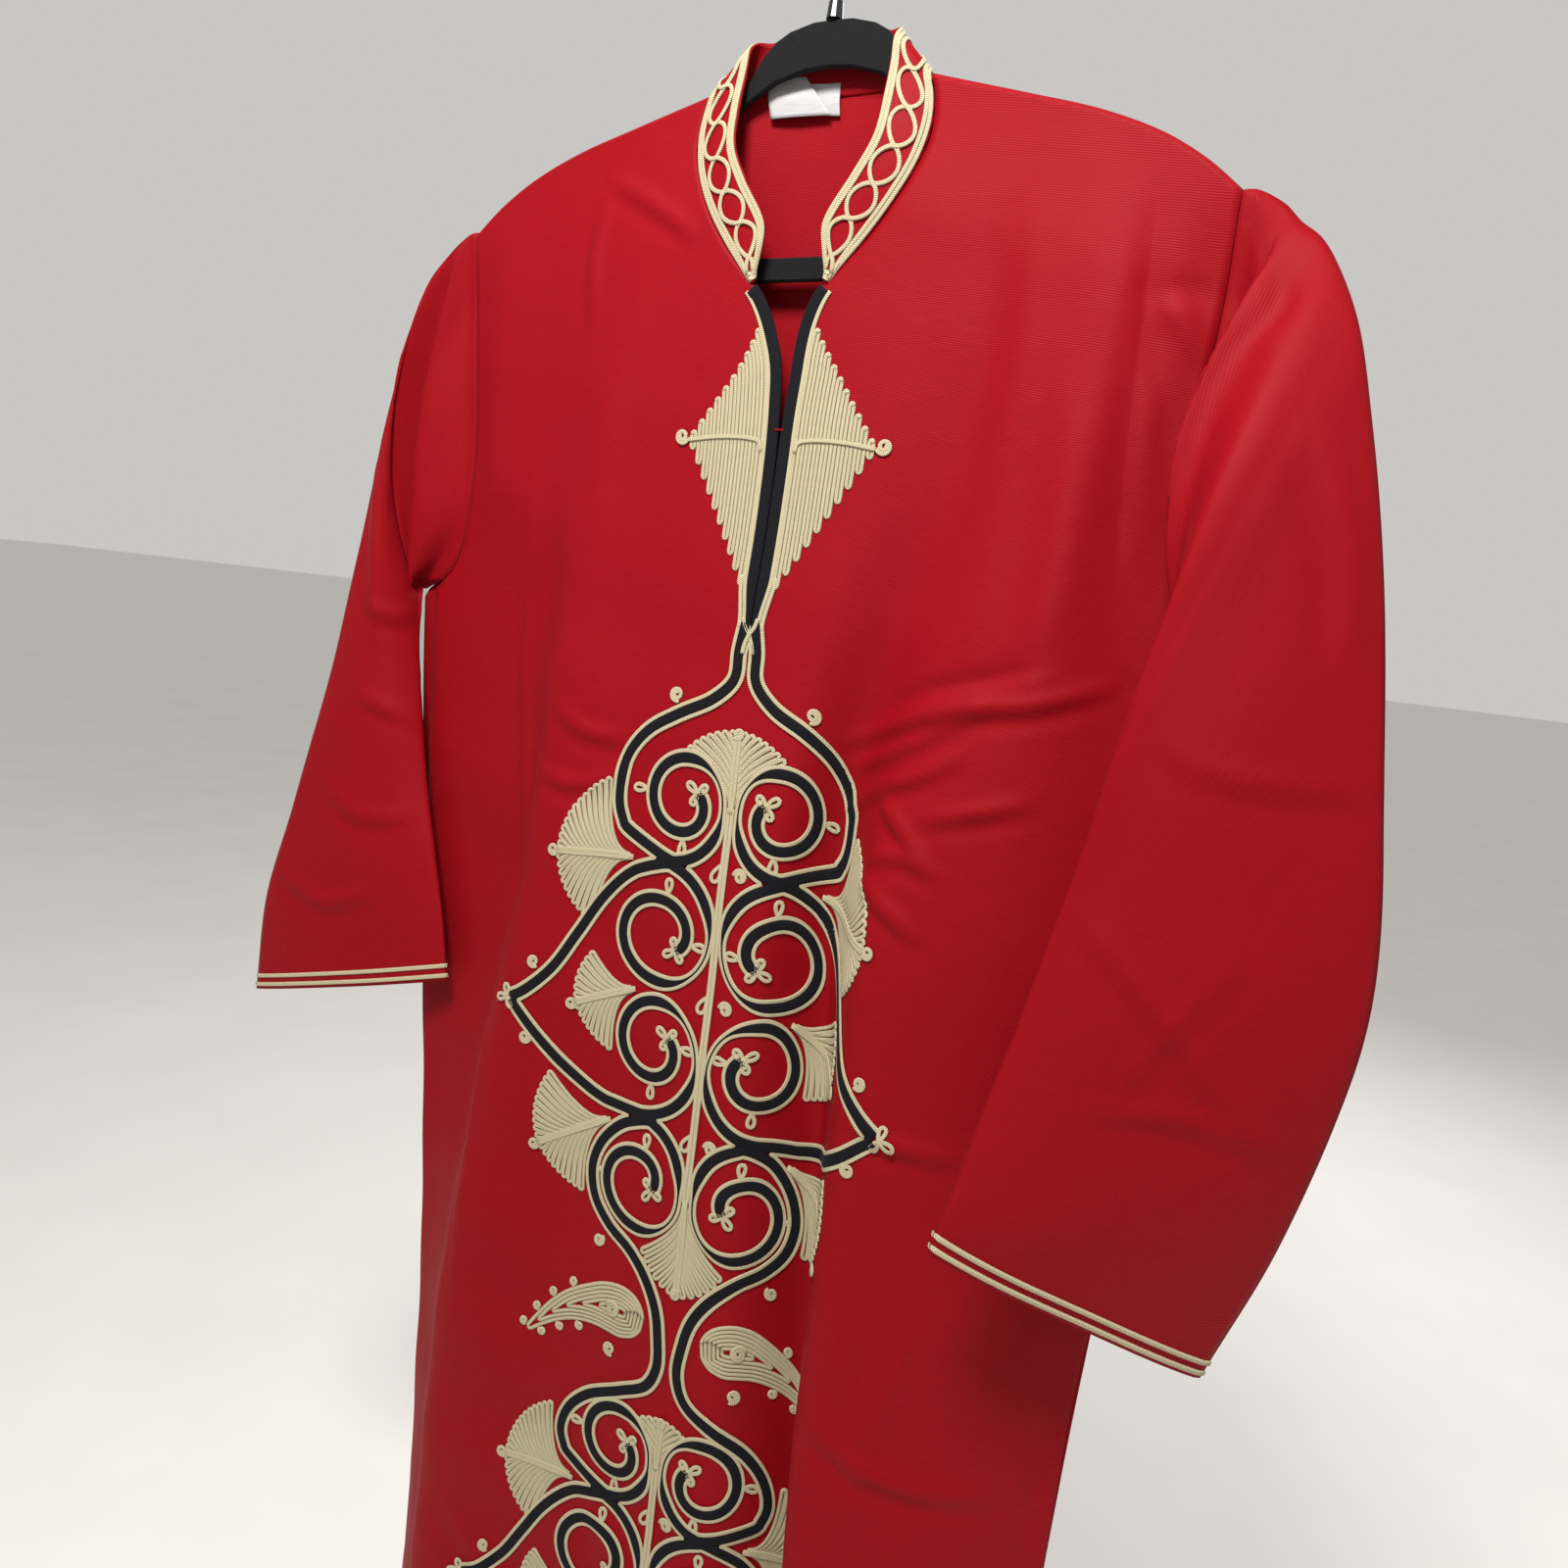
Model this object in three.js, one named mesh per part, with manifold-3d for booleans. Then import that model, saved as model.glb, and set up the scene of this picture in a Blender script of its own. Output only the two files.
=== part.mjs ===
// A red galabeya hanging on a flocked hanger: cloth panels with their folds, a stand collar,
// and ornament of braid and tape.
// Units are millimetres. +Z is up, the front faces -Y and +X is the garment's own left.
// The origin is the inner top of the hanger's hook.
// Heights in the tables are counted from the hanger's neck top.

import * as THREE from 'three';
import Module from 'manifold-3d';

const wasm = await Module();
wasm.setup();

// Driving sizes.
const HOOK_RISE = 62;
const CLOTH = 1.6;
const SEAM = 0.3;
const CLEAR = 0.45;
const CENTRE_X = -5;
const HEM_Z = -1470;
const SLIT_END_Z = -385;
const UNDERARM_Z = -388;
const NECK_HALF = 77;
const NECK_Z = -36;
const BACK_NECK_DEPTH = 12;
const SHOULDER_HALF = 273;

// Materials.
const finish = (color, roughness, metalness = 0) => (
  new THREE.MeshStandardMaterial({ color, roughness, metalness }));
const RED = finish(0xa01218, 0.72);
const CREAM = finish(0xe9dcc0, 0.6);
const VELVET = finish(0x0b0b0d, 0.9);
const FLOCK = finish(0x101012, 0.95);
const STEEL = finish(0x2a2a2e, 0.4, 0.9);
const WHITE = finish(0xe4e0dc, 0.8);

// Small mathematics.
const lerp = (a, b, t) => a + (b - a) * t;
const clamp = (v, a, b) => Math.min(b, Math.max(a, v));
const smooth = (t) => {
  const c = clamp(t, 0, 1);
  return c * c * (3 - 2 * c);
};
const range = (n) => Array.from({ length: n }, (_, i) => i);
const mixPoint = (a, b, t) => a.map((v, k) => lerp(v, b[k], t));
const sub = (a, b) => a.map((v, k) => v - b[k]);
const addScaled = (a, b, s) => a.map((v, k) => v + b[k] * s);
const cross = (a, b) => [a[1] * b[2] - a[2] * b[1], a[2] * b[0] - a[0] * b[2], a[0] * b[1] - a[1] * b[0]];
const dot = (a, b) => a[0] * b[0] + a[1] * b[1] + a[2] * b[2];
const unit = (a) => {
  const l = Math.hypot(...a) || 1;
  return a.map((v) => v / l);
};

// A smooth curve through table rows: keys fall or rise, values are numbers or lists of numbers.
function rowsAt(keys, values, key) {
  const up = keys[1] > keys[0];
  const n = keys.length;
  let i = 0;
  while (i < n - 2 && (up ? key > keys[i + 1] : key < keys[i + 1])) i += 1;
  const t = clamp((key - keys[i]) / (keys[i + 1] - keys[i]), 0, 1);
  const h = keys[i + 1] - keys[i];
  const list = Array.isArray(values[0]);
  const at = (r, k) => (list ? values[r][k] : values[r]);
  const slope = (r, k) => {
    const a = Math.max(0, r - 1);
    const b = Math.min(n - 1, r + 1);
    const left = r > 0 ? (at(r, k) - at(r - 1, k)) / (keys[r] - keys[r - 1]) : null;
    const right = r < n - 1 ? (at(r + 1, k) - at(r, k)) / (keys[r + 1] - keys[r]) : null;
    if (left !== null && right !== null && left * right <= 0) return 0;
    const s = (at(b, k) - at(a, k)) / (keys[b] - keys[a]);
    const cap = 3 * Math.min(...[left, right].filter((v) => v !== null).map(Math.abs));
    return clamp(s, -cap, cap);
  };
  const one = (k) => {
    const [t2, t3] = [t * t, t * t * t];
    return (2 * t3 - 3 * t2 + 1) * at(i, k) + (t3 - 2 * t2 + t) * h * slope(i, k)
      + (3 * t2 - 2 * t3) * at(i + 1, k) + (t3 - t2) * h * slope(i + 1, k);
  };
  return list ? values[0].map((_, k) => one(k)) : one(0);
}

// A point on the smooth curve through control points, p counted in controls.
function curveAt(points, p, closed = false) {
  const n = points.length;
  const pick = (k) => (closed ? points[((k % n) + n) % n] : null);
  const i = closed ? Math.floor(p) : clamp(Math.floor(p), 0, n - 2);
  const t = p - i;
  const p1 = closed ? pick(i) : points[i];
  const p2 = closed ? pick(i + 1) : points[i + 1];
  const p0 = closed ? pick(i - 1) : points[i - 1] ?? addScaled(p1, sub(p1, p2), 1);
  const p3 = closed ? pick(i + 2) : points[i + 2] ?? addScaled(p2, sub(p2, p1), 1);
  const gap = (a, b) => Math.max(1e-3, Math.sqrt(Math.hypot(...sub(a, b))));
  const [t01, t12, t23] = [gap(p0, p1), gap(p1, p2), gap(p2, p3)];
  return p1.map((_, k) => {
    const m1 = (p2[k] - p1[k]) + t12 * ((p1[k] - p0[k]) / t01 - (p2[k] - p0[k]) / (t01 + t12));
    const m2 = (p2[k] - p1[k]) + t12 * ((p3[k] - p2[k]) / t23 - (p3[k] - p1[k]) / (t12 + t23));
    const [a, b] = [p1[k] - p2[k], 0];
    return ((2 * a + m1 + m2 + b) * t - 3 * a - 2 * m1 - m2) * t * t + m1 * t + p1[k];
  });
}

// Thin walls from open surfaces.

// An open surface: points, triangles and one normal a point.
function surface(points, triangles) {
  const normals = points.map(() => [0, 0, 0]);
  for (const [a, b, c] of triangles) {
    const n = cross(sub(points[b], points[a]), sub(points[c], points[a]));
    for (const v of [a, b, c]) normals[v] = addScaled(normals[v], n, 1);
  }
  return { points, triangles, normals: normals.map(unit) };
}

// A closed wall of the given thickness round a surface, its rim closed along every free edge.
function wall({ points, triangles, normals }, thickness) {
  const n = points.length;
  const outer = points.map((p, i) => addScaled(p, normals[i], thickness / 2));
  const inner = points.map((p, i) => addScaled(p, normals[i], -thickness / 2));
  const faces = [];
  const edges = new Set();
  for (const [a, b, c] of triangles) {
    faces.push([a, b, c], [n + a, n + c, n + b]);
    for (const [u, v] of [[a, b], [b, c], [c, a]]) edges.add(`${u},${v}`);
  }
  for (const edge of edges) {
    const [u, v] = edge.split(',').map(Number);
    if (!edges.has(`${v},${u}`)) faces.push([u, n + u, n + v], [u, n + v, v]);
  }
  return { points: [...outer, ...inner], faces };
}

// Grid of points to a surface. Rows run down and columns run across; wrap closes the columns into a tube.
function gridSurface(rows, wrap = false) {
  const [nr, nc] = [rows.length, rows[0].length];
  const at = (j, i) => j * nc + (i % nc);
  const triangles = [];
  for (let j = 0; j < nr - 1; j += 1) {
    for (let i = 0; i < (wrap ? nc : nc - 1); i += 1) {
      const [a, b, c, d] = [at(j, i), at(j, i + 1), at(j + 1, i + 1), at(j + 1, i)];
      triangles.push([a, d, b], [b, d, c]);
    }
  }
  return surface(rows.flat(), triangles);
}

const pieces = [];
function addPiece(name, { points, faces }, material) {
  const geometry = new THREE.BufferGeometry();
  const lifted = points.flatMap(([x, y, z]) => [x, y, z - HOOK_RISE]);
  geometry.setAttribute('position', new THREE.Float32BufferAttribute(lifted, 3));
  geometry.setIndex(faces.flat());
  geometry.computeVertexNormals();
  const mesh = new THREE.Mesh(geometry, material);
  mesh.name = name;
  pieces.push(mesh);
}

// Front and back panels.

// Columns of the front's sections, from the wearer's right side seam to the left one.
const FRONT_COLUMNS = ['sideRight', 'panel', 'flank', 'ridge', 'middle', 'centre',
  'brow', 'valley', 'crest', 'swell', 'turn', 'sideLeft'];
const FRONT_CENTRE = FRONT_COLUMNS.indexOf('centre');
const FRONT_STEPS = [2, 2, 1, 2, 3, 2, 3, 3, 2, 2, 2];
// One row for each section: height, then x and y of each column.
const FRONT_ROWS = [
  {
    z: -20,
    x: [-330, -250, -185, -155, -80, -5, 70, 150, 185, 210, 232, 330],
    y: [8, -3, -5, -7, -10, -12, -12, -9, -10, -9, -4, 6],
  },
  {
    z: -118,
    x: [-328, -250, -185, -155, -80, -5, 70, 150, 182, 208, 230, 328],
    y: [8, -3, -6, -9, -12, -13, -12, -9, -11, -10, -3, 6],
  },
  {
    z: -290,
    x: [-324, -245, -182, -152, -82, -3, 62, 118, 160, 205, 236, 322],
    y: [10, 0, -8, -16, -18, -17, -16, -8, -16, -17, -2, 9],
  },
  {
    z: -420,
    x: [-320, -245, -182, -154, -82, 0, 48, 88, 130, 195, 250, 312],
    y: [12, 2, -8, -23, -22, -22, -21, -3, -19, -23, -2, 12],
  },
  {
    z: -560,
    x: [-306, -245, -184, -160, -82, 4, 36, 73, 114, 186, 255, 304],
    y: [12, 3, -6, -29, -28, -30, -28, 7, -28, -27, -8, 12],
  },
  {
    z: -740,
    x: [-290, -250, -208, -185, -92, 5, 39, 82, 111, 182, 250, 288],
    y: [12, 5, -6, -32, -30, -33, -30, 8, -30, -30, -8, 13],
  },
  {
    z: -950,
    x: [-275, -254, -232, -211, -104, 5, 48, 96, 113, 182, 245, 279],
    y: [14, 4, -10, -34, -30, -36, -32, 9, -37, -34, -8, 14],
  },
  {
    z: -1150,
    x: [-270, -256, -236, -217, -108, 5, 56, 108, 122, 184, 245, 279],
    y: [16, 3, -12, -36, -32, -38, -33, 10, -41, -37, -8, 15],
  },
  {
    z: -1470,
    x: [-280, -264, -244, -224, -112, 5, 64, 116, 131, 192, 254, 290],
    y: [18, 2, -14, -39, -34, -41, -34, 10, -46, -41, -8, 17],
  },
];
const FRONT_KEYS = FRONT_ROWS.map((r) => r.z);
// The back's sections, side seam to side seam.
const BACK_STEPS = [2, 3, 2, 2, 3, 2];
const BACK_ROWS = [
  {
    z: -20,
    x: [-330, -200, -100, -5, 95, 195, 330],
    y: [8, 6, 9, 12, 9, 6, 6],
  },
  {
    z: -118,
    x: [-328, -200, -100, -5, 95, 195, 328],
    y: [8, 8, 12, 14, 12, 8, 6],
  },
  {
    z: -420,
    x: [-320, -205, -105, -5, 95, 200, 312],
    y: [12, 20, 14, 24, 16, 22, 12],
  },
  {
    z: -740,
    x: [-290, -200, -100, -5, 95, 195, 288],
    y: [12, 30, 17, 30, 19, 32, 13],
  },
  {
    z: -1100,
    x: [-271, -190, -95, 0, 95, 190, 279],
    y: [15, 36, 20, 36, 21, 38, 15],
  },
  {
    z: -1470,
    x: [-280, -190, -92, 4, 98, 192, 290],
    y: [18, 44, 22, 42, 24, 46, 17],
  },
];
const BACK_KEYS = BACK_ROWS.map((r) => r.z);

// Shoulder line, over the distance from the centre line.
const SHOULDER = { from: [66, 80, 141, 185, 222, 250, 273], z: [-33, -37, -53.5, -66, -81, -98, -117] };
// The hanger hangs a little to one side, and the shoulders with it: rise over each millimetre to the left.
const TILT = 0.014;
const shoulderZ = (half, side) => {
  const reach = clamp(half, 66, 273);
  return rowsAt(SHOULDER.from, SHOULDER.z, reach) + side * TILT * (reach - 66);
};
// Neck edge and slit edge, by height: distance from the centre line.
const NECK_EDGE = {
  z: [-36, -50, -70, -92, -117, -141, -163, -172, -185, -200, -215, -240, -262, -300, -345, -385],
  half: [77, 82.5, 84.5, 79, 66, 48, 26, 18.5, 12, 7.4, 4.6, 2.5, 1.6, 1.1, 0.8, 0.6],
};
const neckHalf = (z) => rowsAt(NECK_EDGE.z, NECK_EDGE.half, clamp(z, -385, -36));
// The slit leans to the wearer's left between the collar and its end.
const SLIT_LEAN = { z: [-163, -190, -225, -262, -300, -345, -385], u: [0, 3, 6, 6, 5, 3, 0] };
const slitMiddle = (z) => rowsAt(SLIT_LEAN.z, SLIT_LEAN.u, clamp(z, -385, -163));
// Armhole edge, by height: distance from the centre line along the cloth.
const ARMHOLE = { z: [-116, -160, -220, -280, -335, -368, -388], half: [273, 273, 271, 270, 277, 290, 312] };

const SEAM_SHIFT = 0.95;
const sectionCurve = (keys, rows, z, away) => {
  const xs = rowsAt(keys, rows.map((r) => r.x), z);
  const ys = rowsAt(keys, rows.map((r) => r.y), z);
  const last = xs.length - 1;
  return xs.map((x, k) => [x, ys[k] + (k === 0 || k === last ? away : 0)]);
};

// A section as a measured line: position by cloth length from the centre column.
function measured(keys, rows, z, centre, away) {
  const controls = sectionCurve(keys, rows, z, away);
  const fine = 10;
  const n = (controls.length - 1) * fine;
  const line = range(n + 1).map((i) => curveAt(controls, i / fine));
  const length = [0];
  for (let i = 1; i <= n; i += 1) length.push(length[i - 1] + Math.hypot(...sub(line[i], line[i - 1])));
  const zero = length[centre * fine];
  const toLength = (p) => {
    const i = clamp(Math.floor(p * fine), 0, n - 1);
    return lerp(length[i], length[i + 1], p * fine - i) - zero;
  };
  const toParam = (u) => {
    let i = 0;
    while (i < n - 1 && length[i + 1] - zero < u) i += 1;
    const span = length[i + 1] - length[i];
    return (i + clamp((u + zero - length[i]) / span, 0, 1)) / fine;
  };
  const at = (p) => {
    const i = clamp(Math.floor(p * fine), 0, n - 1);
    return mixPoint(line[i], line[i + 1], p * fine - i);
  };
  return { toLength, toParam, at };
}
const cache = new Map();
function section(kind, z) {
  const key = `${kind}${z.toFixed(3)}`;
  if (!cache.has(key)) {
    cache.set(key, kind === 'front'
      ? measured(FRONT_KEYS, FRONT_ROWS, z, FRONT_CENTRE, -SEAM_SHIFT)
      : measured(BACK_KEYS, BACK_ROWS, z, 3, SEAM_SHIFT));
  }
  return cache.get(key);
}

// Depth of the cloth near the shoulder: it leaves the seam over the hanger's arm and then falls free.
function shoulderDepth(depth, drop) {
  const far = smooth(drop / 90);
  return lerp(SEAM_SHIFT, Math.max(depth, 5.2), far) + 3.6 * smooth(drop / 3.2) * (1 - far);
}

function frontPoint(u, z) {
  const s = section('front', z);
  const [x, y] = s.at(s.toParam(u));
  const half = Math.abs(x - CENTRE_X);
  const drop = shoulderZ(half, Math.sign(x - CENTRE_X)) - z;
  if (z < -330 || half < NECK_HALF - 12) return [x, y, z];
  const near = shoulderDepth(Math.max(-y, 0), drop);
  const back = smooth((half - 236) / 30) * smooth(drop / 60);
  return [x, lerp(-near, y, back), z];
}

function backPoint(x, z) {
  const line = section('back', z);
  let [lo, hi] = [0, 6];
  for (let k = 0; k < 30; k += 1) {
    const mid = (lo + hi) / 2;
    if (line.at(mid)[0] < x) lo = mid;
    else hi = mid;
  }
  const y = line.at((lo + hi) / 2)[1];
  const half = Math.abs(x - CENTRE_X);
  const inNeck = half < NECK_HALF;
  const hollow = BACK_NECK_DEPTH * (1 - (half / NECK_HALF) ** 2) ** 0.6;
  const top = inNeck ? Math.max(SEAM_SHIFT, hollow) : SEAM_SHIFT;
  const edge = inNeck ? -38 : shoulderZ(half, Math.sign(x - CENTRE_X));
  const drop = edge - z;
  const far = smooth(drop / 90);
  const step = 3.6 * smooth(drop / 3.2) * (1 - far) * smooth((half - 56) / 14);
  return [x, lerp(top, Math.max(y, 5.2), far) + step, z];
}

// The front: two halves of columns that share the centre line below the slit.
const UPPER = [0, 0.0115, 0.046, 0.09, 0.16, 0.232, 0.301, 0.367, 0.47, 0.64, 0.84, 1];
const LOWER_ROWS = 12;
const columnsOf = (steps, from, to) => {
  const list = [from];
  for (let k = from; k < to; k += 1) for (const i of range(steps[k])) list.push(k + (i + 1) / steps[k]);
  return list;
};

function frontHalf(side) {
  const left = side < 0;
  const all = left ? columnsOf(FRONT_STEPS, 0, FRONT_CENTRE).reverse()
    : columnsOf(FRONT_STEPS, FRONT_CENTRE, FRONT_COLUMNS.length - 1);
  const last = all[all.length - 1];
  const share = all.map((p) => (p - FRONT_CENTRE) / (last - FRONT_CENTRE));
  const across = (f, z) => {
    const s = section('front', z);
    const inner = slitMiddle(z) + side * neckHalf(z);
    const outer = side * rowsAt(ARMHOLE.z, ARMHOLE.half, clamp(z, -388, -116));
    const p = lerp(s.toParam(inner), s.toParam(outer), f);
    return { u: f === 0 ? inner : f === 1 ? outer : s.toLength(p), z, x: s.at(p)[0] };
  };
  const tops = share.map((f) => range(6).reduce(
    (z) => shoulderZ(Math.abs(across(f, z).x - CENTRE_X), side),
    shoulderZ(lerp(NECK_HALF, SHOULDER_HALF, f), side),
  ));
  const rows = UPPER.map((g) => share.map((f, i) => (
    across(f, lerp(f === 0 ? NECK_Z : tops[i], lerp(SLIT_END_Z, UNDERARM_Z, f), g)))));
  for (const k of range(LOWER_ROWS)) {
    const g = (k + 1) / LOWER_ROWS;
    rows.push(all.map((p, i) => {
      const z = lerp(lerp(SLIT_END_Z, UNDERARM_Z, share[i]), HEM_Z, g);
      const s = section('front', z);
      const outer = side * rowsAt(ARMHOLE.z, ARMHOLE.half, -388);
      const free = smooth(g * 3);
      const q = lerp(lerp(FRONT_CENTRE, s.toParam(outer), share[i]), p, free);
      return { u: i === 0 ? 0 : s.toLength(q), z };
    }));
  }
  return rows;
}

function buildFront() {
  const halves = [frontHalf(-1), frontHalf(1)];
  const flat = [];
  const triangles = [];
  const joined = UPPER.length;
  const ids = halves.map((rows, h) => rows.map((row, j) => row.map((f, i) => {
    if (h === 1 && i === 0 && j >= joined) return null;
    flat.push(f);
    return flat.length - 1;
  })));
  ids[1].forEach((row, j) => {
    if (row[0] === null) row[0] = ids[0][j][0];
  });
  ids.forEach((grid, h) => {
    for (let j = 0; j < grid.length - 1; j += 1) {
      for (let i = 0; i < grid[j].length - 1; i += 1) {
        const [a, b, c, d] = [grid[j][i], grid[j][i + 1], grid[j + 1][i + 1], grid[j + 1][i]];
        if (h === 1) triangles.push([a, d, b], [b, d, c]);
        else triangles.push([a, b, d], [b, c, d]);
      }
    }
  });
  const made = surface(flat.map((f) => frontPoint(f.u, f.z)), triangles);
  return { ...made, flat, ids };
}

const BACK_UPPER = [0, 0.0115, 0.06, 0.15, 0.32, 0.55, 0.8, 1];
const BACK_LOWER_ROWS = 10;
function buildBack() {
  const all = columnsOf(BACK_STEPS, 0, 6);
  const rows = [];
  const width = (z) => rowsAt(ARMHOLE.z, ARMHOLE.half, clamp(z, -388, -116));
  for (const g of BACK_UPPER) {
    rows.push(all.map((p) => {
      const f = (p - 3) / 3;
      const half = SHOULDER_HALF * Math.abs(f);
      const zTop = half < NECK_HALF ? -38 : shoulderZ(half, Math.sign(f));
      const z = lerp(zTop, UNDERARM_Z, g);
      return backPoint(CENTRE_X + Math.sign(f) * Math.abs(f) * width(z), z);
    }));
  }
  for (const k of range(BACK_LOWER_ROWS)) {
    const g = (k + 1) / BACK_LOWER_ROWS;
    const z = lerp(UNDERARM_Z, HEM_Z, g);
    const s = section('back', z);
    rows.push(all.map((p) => {
      const even = s.at(p);
      const edge = s.at(p < 3 ? 0 : 6)[0];
      const f = Math.abs(p - 3) / 3;
      const x = lerp(lerp(s.at(3)[0], edge, f), even[0], smooth(g * 3));
      return backPoint(x, z);
    }));
  }
  return { ...gridSurface(rows.map((r) => [...r].reverse())), rows };
}

const front = buildFront();
const back = buildBack();
addPiece('front', wall(front, CLOTH), RED);
addPiece('back', wall(back, CLOTH), RED);

// Sleeves.

// One row for each ring: outer (x, y, z), inner (x, y, z), front bulge (x, y), back bulge (y).
const SLEEVE_RIGHT = [
  { outer: [-292, -4, -126], inner: [-322, -3, -386], front: [-8, -9], back: 16 },
  { outer: [-303, -5, -136], inner: [-327, 2, -388], front: [-10, 8], back: 20 },
  { outer: [-320, -8, -158], inner: [-326, 6, -391], front: [-18, -12], back: 28 },
  { outer: [-335, -11, -205], inner: [-321, 5, -402], front: [-10, -14], back: 23 },
  { outer: [-348, -16, -275], inner: [-314, 0, -430], front: [-4, -14], back: 15 },
  { outer: [-364, -19, -365], inner: [-304, -3, -480], front: [0, -12], back: 15 },
  { outer: [-383, -22, -460], inner: [-290, -6, -540], front: [0, -11], back: 18 },
  { outer: [-415, -25, -580], inner: [-272, -9, -600], front: [0, -11], back: 20 },
  { outer: [-439, -26, -665], inner: [-256, -11, -652], front: [0, -10], back: 17 },
  { outer: [-448, -25, -752], inner: [-247, -12, -698], front: [0, -8], back: 13 },
];
const SLEEVE_LEFT = [
  { outer: [290, -4, -122], inner: [300, -8, -384], front: [-12, -14], back: 16 },
  { outer: [300, -6, -132], inner: [284, -22, -386], front: [-34, -22], back: 26 },
  { outer: [312, -10, -142], inner: [276, -30, -394], front: [-20, -18], back: 40 },
  { outer: [324, -16, -160], inner: [262, -66, -402], front: [-6, -22], back: 44 },
  { outer: [338, -22, -190], inner: [258, -76, -430], front: [0, -16], back: 44 },
  { outer: [352, -24, -240], inner: [252, -82, -475], front: [0, -13], back: 40 },
  { outer: [374, -25, -330], inner: [243, -87, -525], front: [0, -12], back: 34 },
  { outer: [393, -25, -440], inner: [233, -92, -580], front: [0, -12], back: 28 },
  { outer: [405, -25, -548], inner: [222, -97, -632], front: [0, -12], back: 24 },
  { outer: [398, -24, -620], inner: [213, -101, -680], front: [0, -11], back: 20 },
  { outer: [382, -20, -700], inner: [207, -104, -706], front: [0, -10], back: 16 },
  { outer: [353, -14, -797], inner: [203, -104, -728], front: [0, -8], back: 13 },
];
const RING_HALF = UPPER.length - 1;

// The armhole as a ring: down the front edge and up the back one, moved out over the seam's gap.
function armholeRing(side, out) {
  const column = (list, end) => list.slice(0, UPPER.length).map((row) => row[end(row)]);
  const frontIds = column(front.ids[side > 0 ? 1 : 0], (row) => row.length - 1);
  const frontEdge = frontIds.map((id) => front.points[id]);
  const backEdge = back.rows.slice(0, BACK_UPPER.length).map((row) => row[side > 0 ? row.length - 1 : 0]);
  const resample = (line, t) => {
    const length = [0];
    for (let i = 1; i < line.length; i += 1) {
      length.push(length[i - 1] + Math.hypot(...sub(line[i], line[i - 1])));
    }
    const goal = t * length[length.length - 1];
    let i = 0;
    while (i < line.length - 2 && length[i + 1] < goal) i += 1;
    return mixPoint(line[i], line[i + 1], (goal - length[i]) / (length[i + 1] - length[i]));
  };
  const ring = frontEdge.slice(0, RING_HALF);
  for (const i of range(RING_HALF)) ring.push(resample(backEdge, 1 - i / RING_HALF));
  return ring.map((p, i) => {
    const low = i === RING_HALF ? 0 : smooth((Math.abs(p[2]) - 320) / 50);
    const back = i > RING_HALF ? 1 + 1.7 * low : 1;
    const across = i === RING_HALF ? 3.2 : back * (1 + 0.5 * low);
    const inwards = i === RING_HALF ? (p[1] - frontEdge[RING_HALF][1]) * 0.75 : 0;
    return [p[0] + side * out * across, p[1] - inwards, p[2] + out * back * 1.2 * low];
  });
}

function sleeveRing(row, index, rows, side) {
  const previous = rows[Math.max(0, index - 1)];
  return range(RING_HALF * 2).map((i) => {
    const onFront = i <= RING_HALF;
    const q = onFront ? i / RING_HALF : 2 - i / RING_HALF;
    const swell = Math.sin(Math.PI * q) ** 0.75;
    const base = mixPoint(row.outer, row.inner, q);
    const round = Math.sin(Math.PI * q) * (previous === row ? 0.5 : 1);
    if (onFront) return [base[0] + row.front[0] * round, base[1] + row.front[1] * swell, base[2]];
    return [base[0] + side * 2 * swell, base[1] + row.back * swell, base[2]];
  });
}

const SLEEVE_STEPS = 1;
function buildSleeve(rows, side) {
  const rings = [armholeRing(side, SEAM + 0.1), armholeRing(side, 7)];
  const keys = rows.map((_, i) => i);
  const flatRows = rows.map((r) => [...r.outer, ...r.inner, ...r.front, r.back]);
  const total = (rows.length - 1) * SLEEVE_STEPS;
  for (const k of range(total + 1)) {
    const v = rowsAt(keys, flatRows, k / SLEEVE_STEPS);
    const row = { outer: v.slice(0, 3), inner: v.slice(3, 6), front: v.slice(6, 8), back: v[8] };
    rings.push(sleeveRing(row, k, rows, side));
  }
  const made = gridSurface(side > 0 ? rings.map((r) => [r[0], ...r.slice(1).reverse()]) : rings, true);
  return { ...made, rings };
}
const sleeves = { right: buildSleeve(SLEEVE_RIGHT, -1), left: buildSleeve(SLEEVE_LEFT, 1) };
addPiece('sleeve_right', wall(sleeves.right, CLOTH), RED);
addPiece('sleeve_left', wall(sleeves.left, CLOTH), RED);

// Laying pieces on the front.

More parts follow.
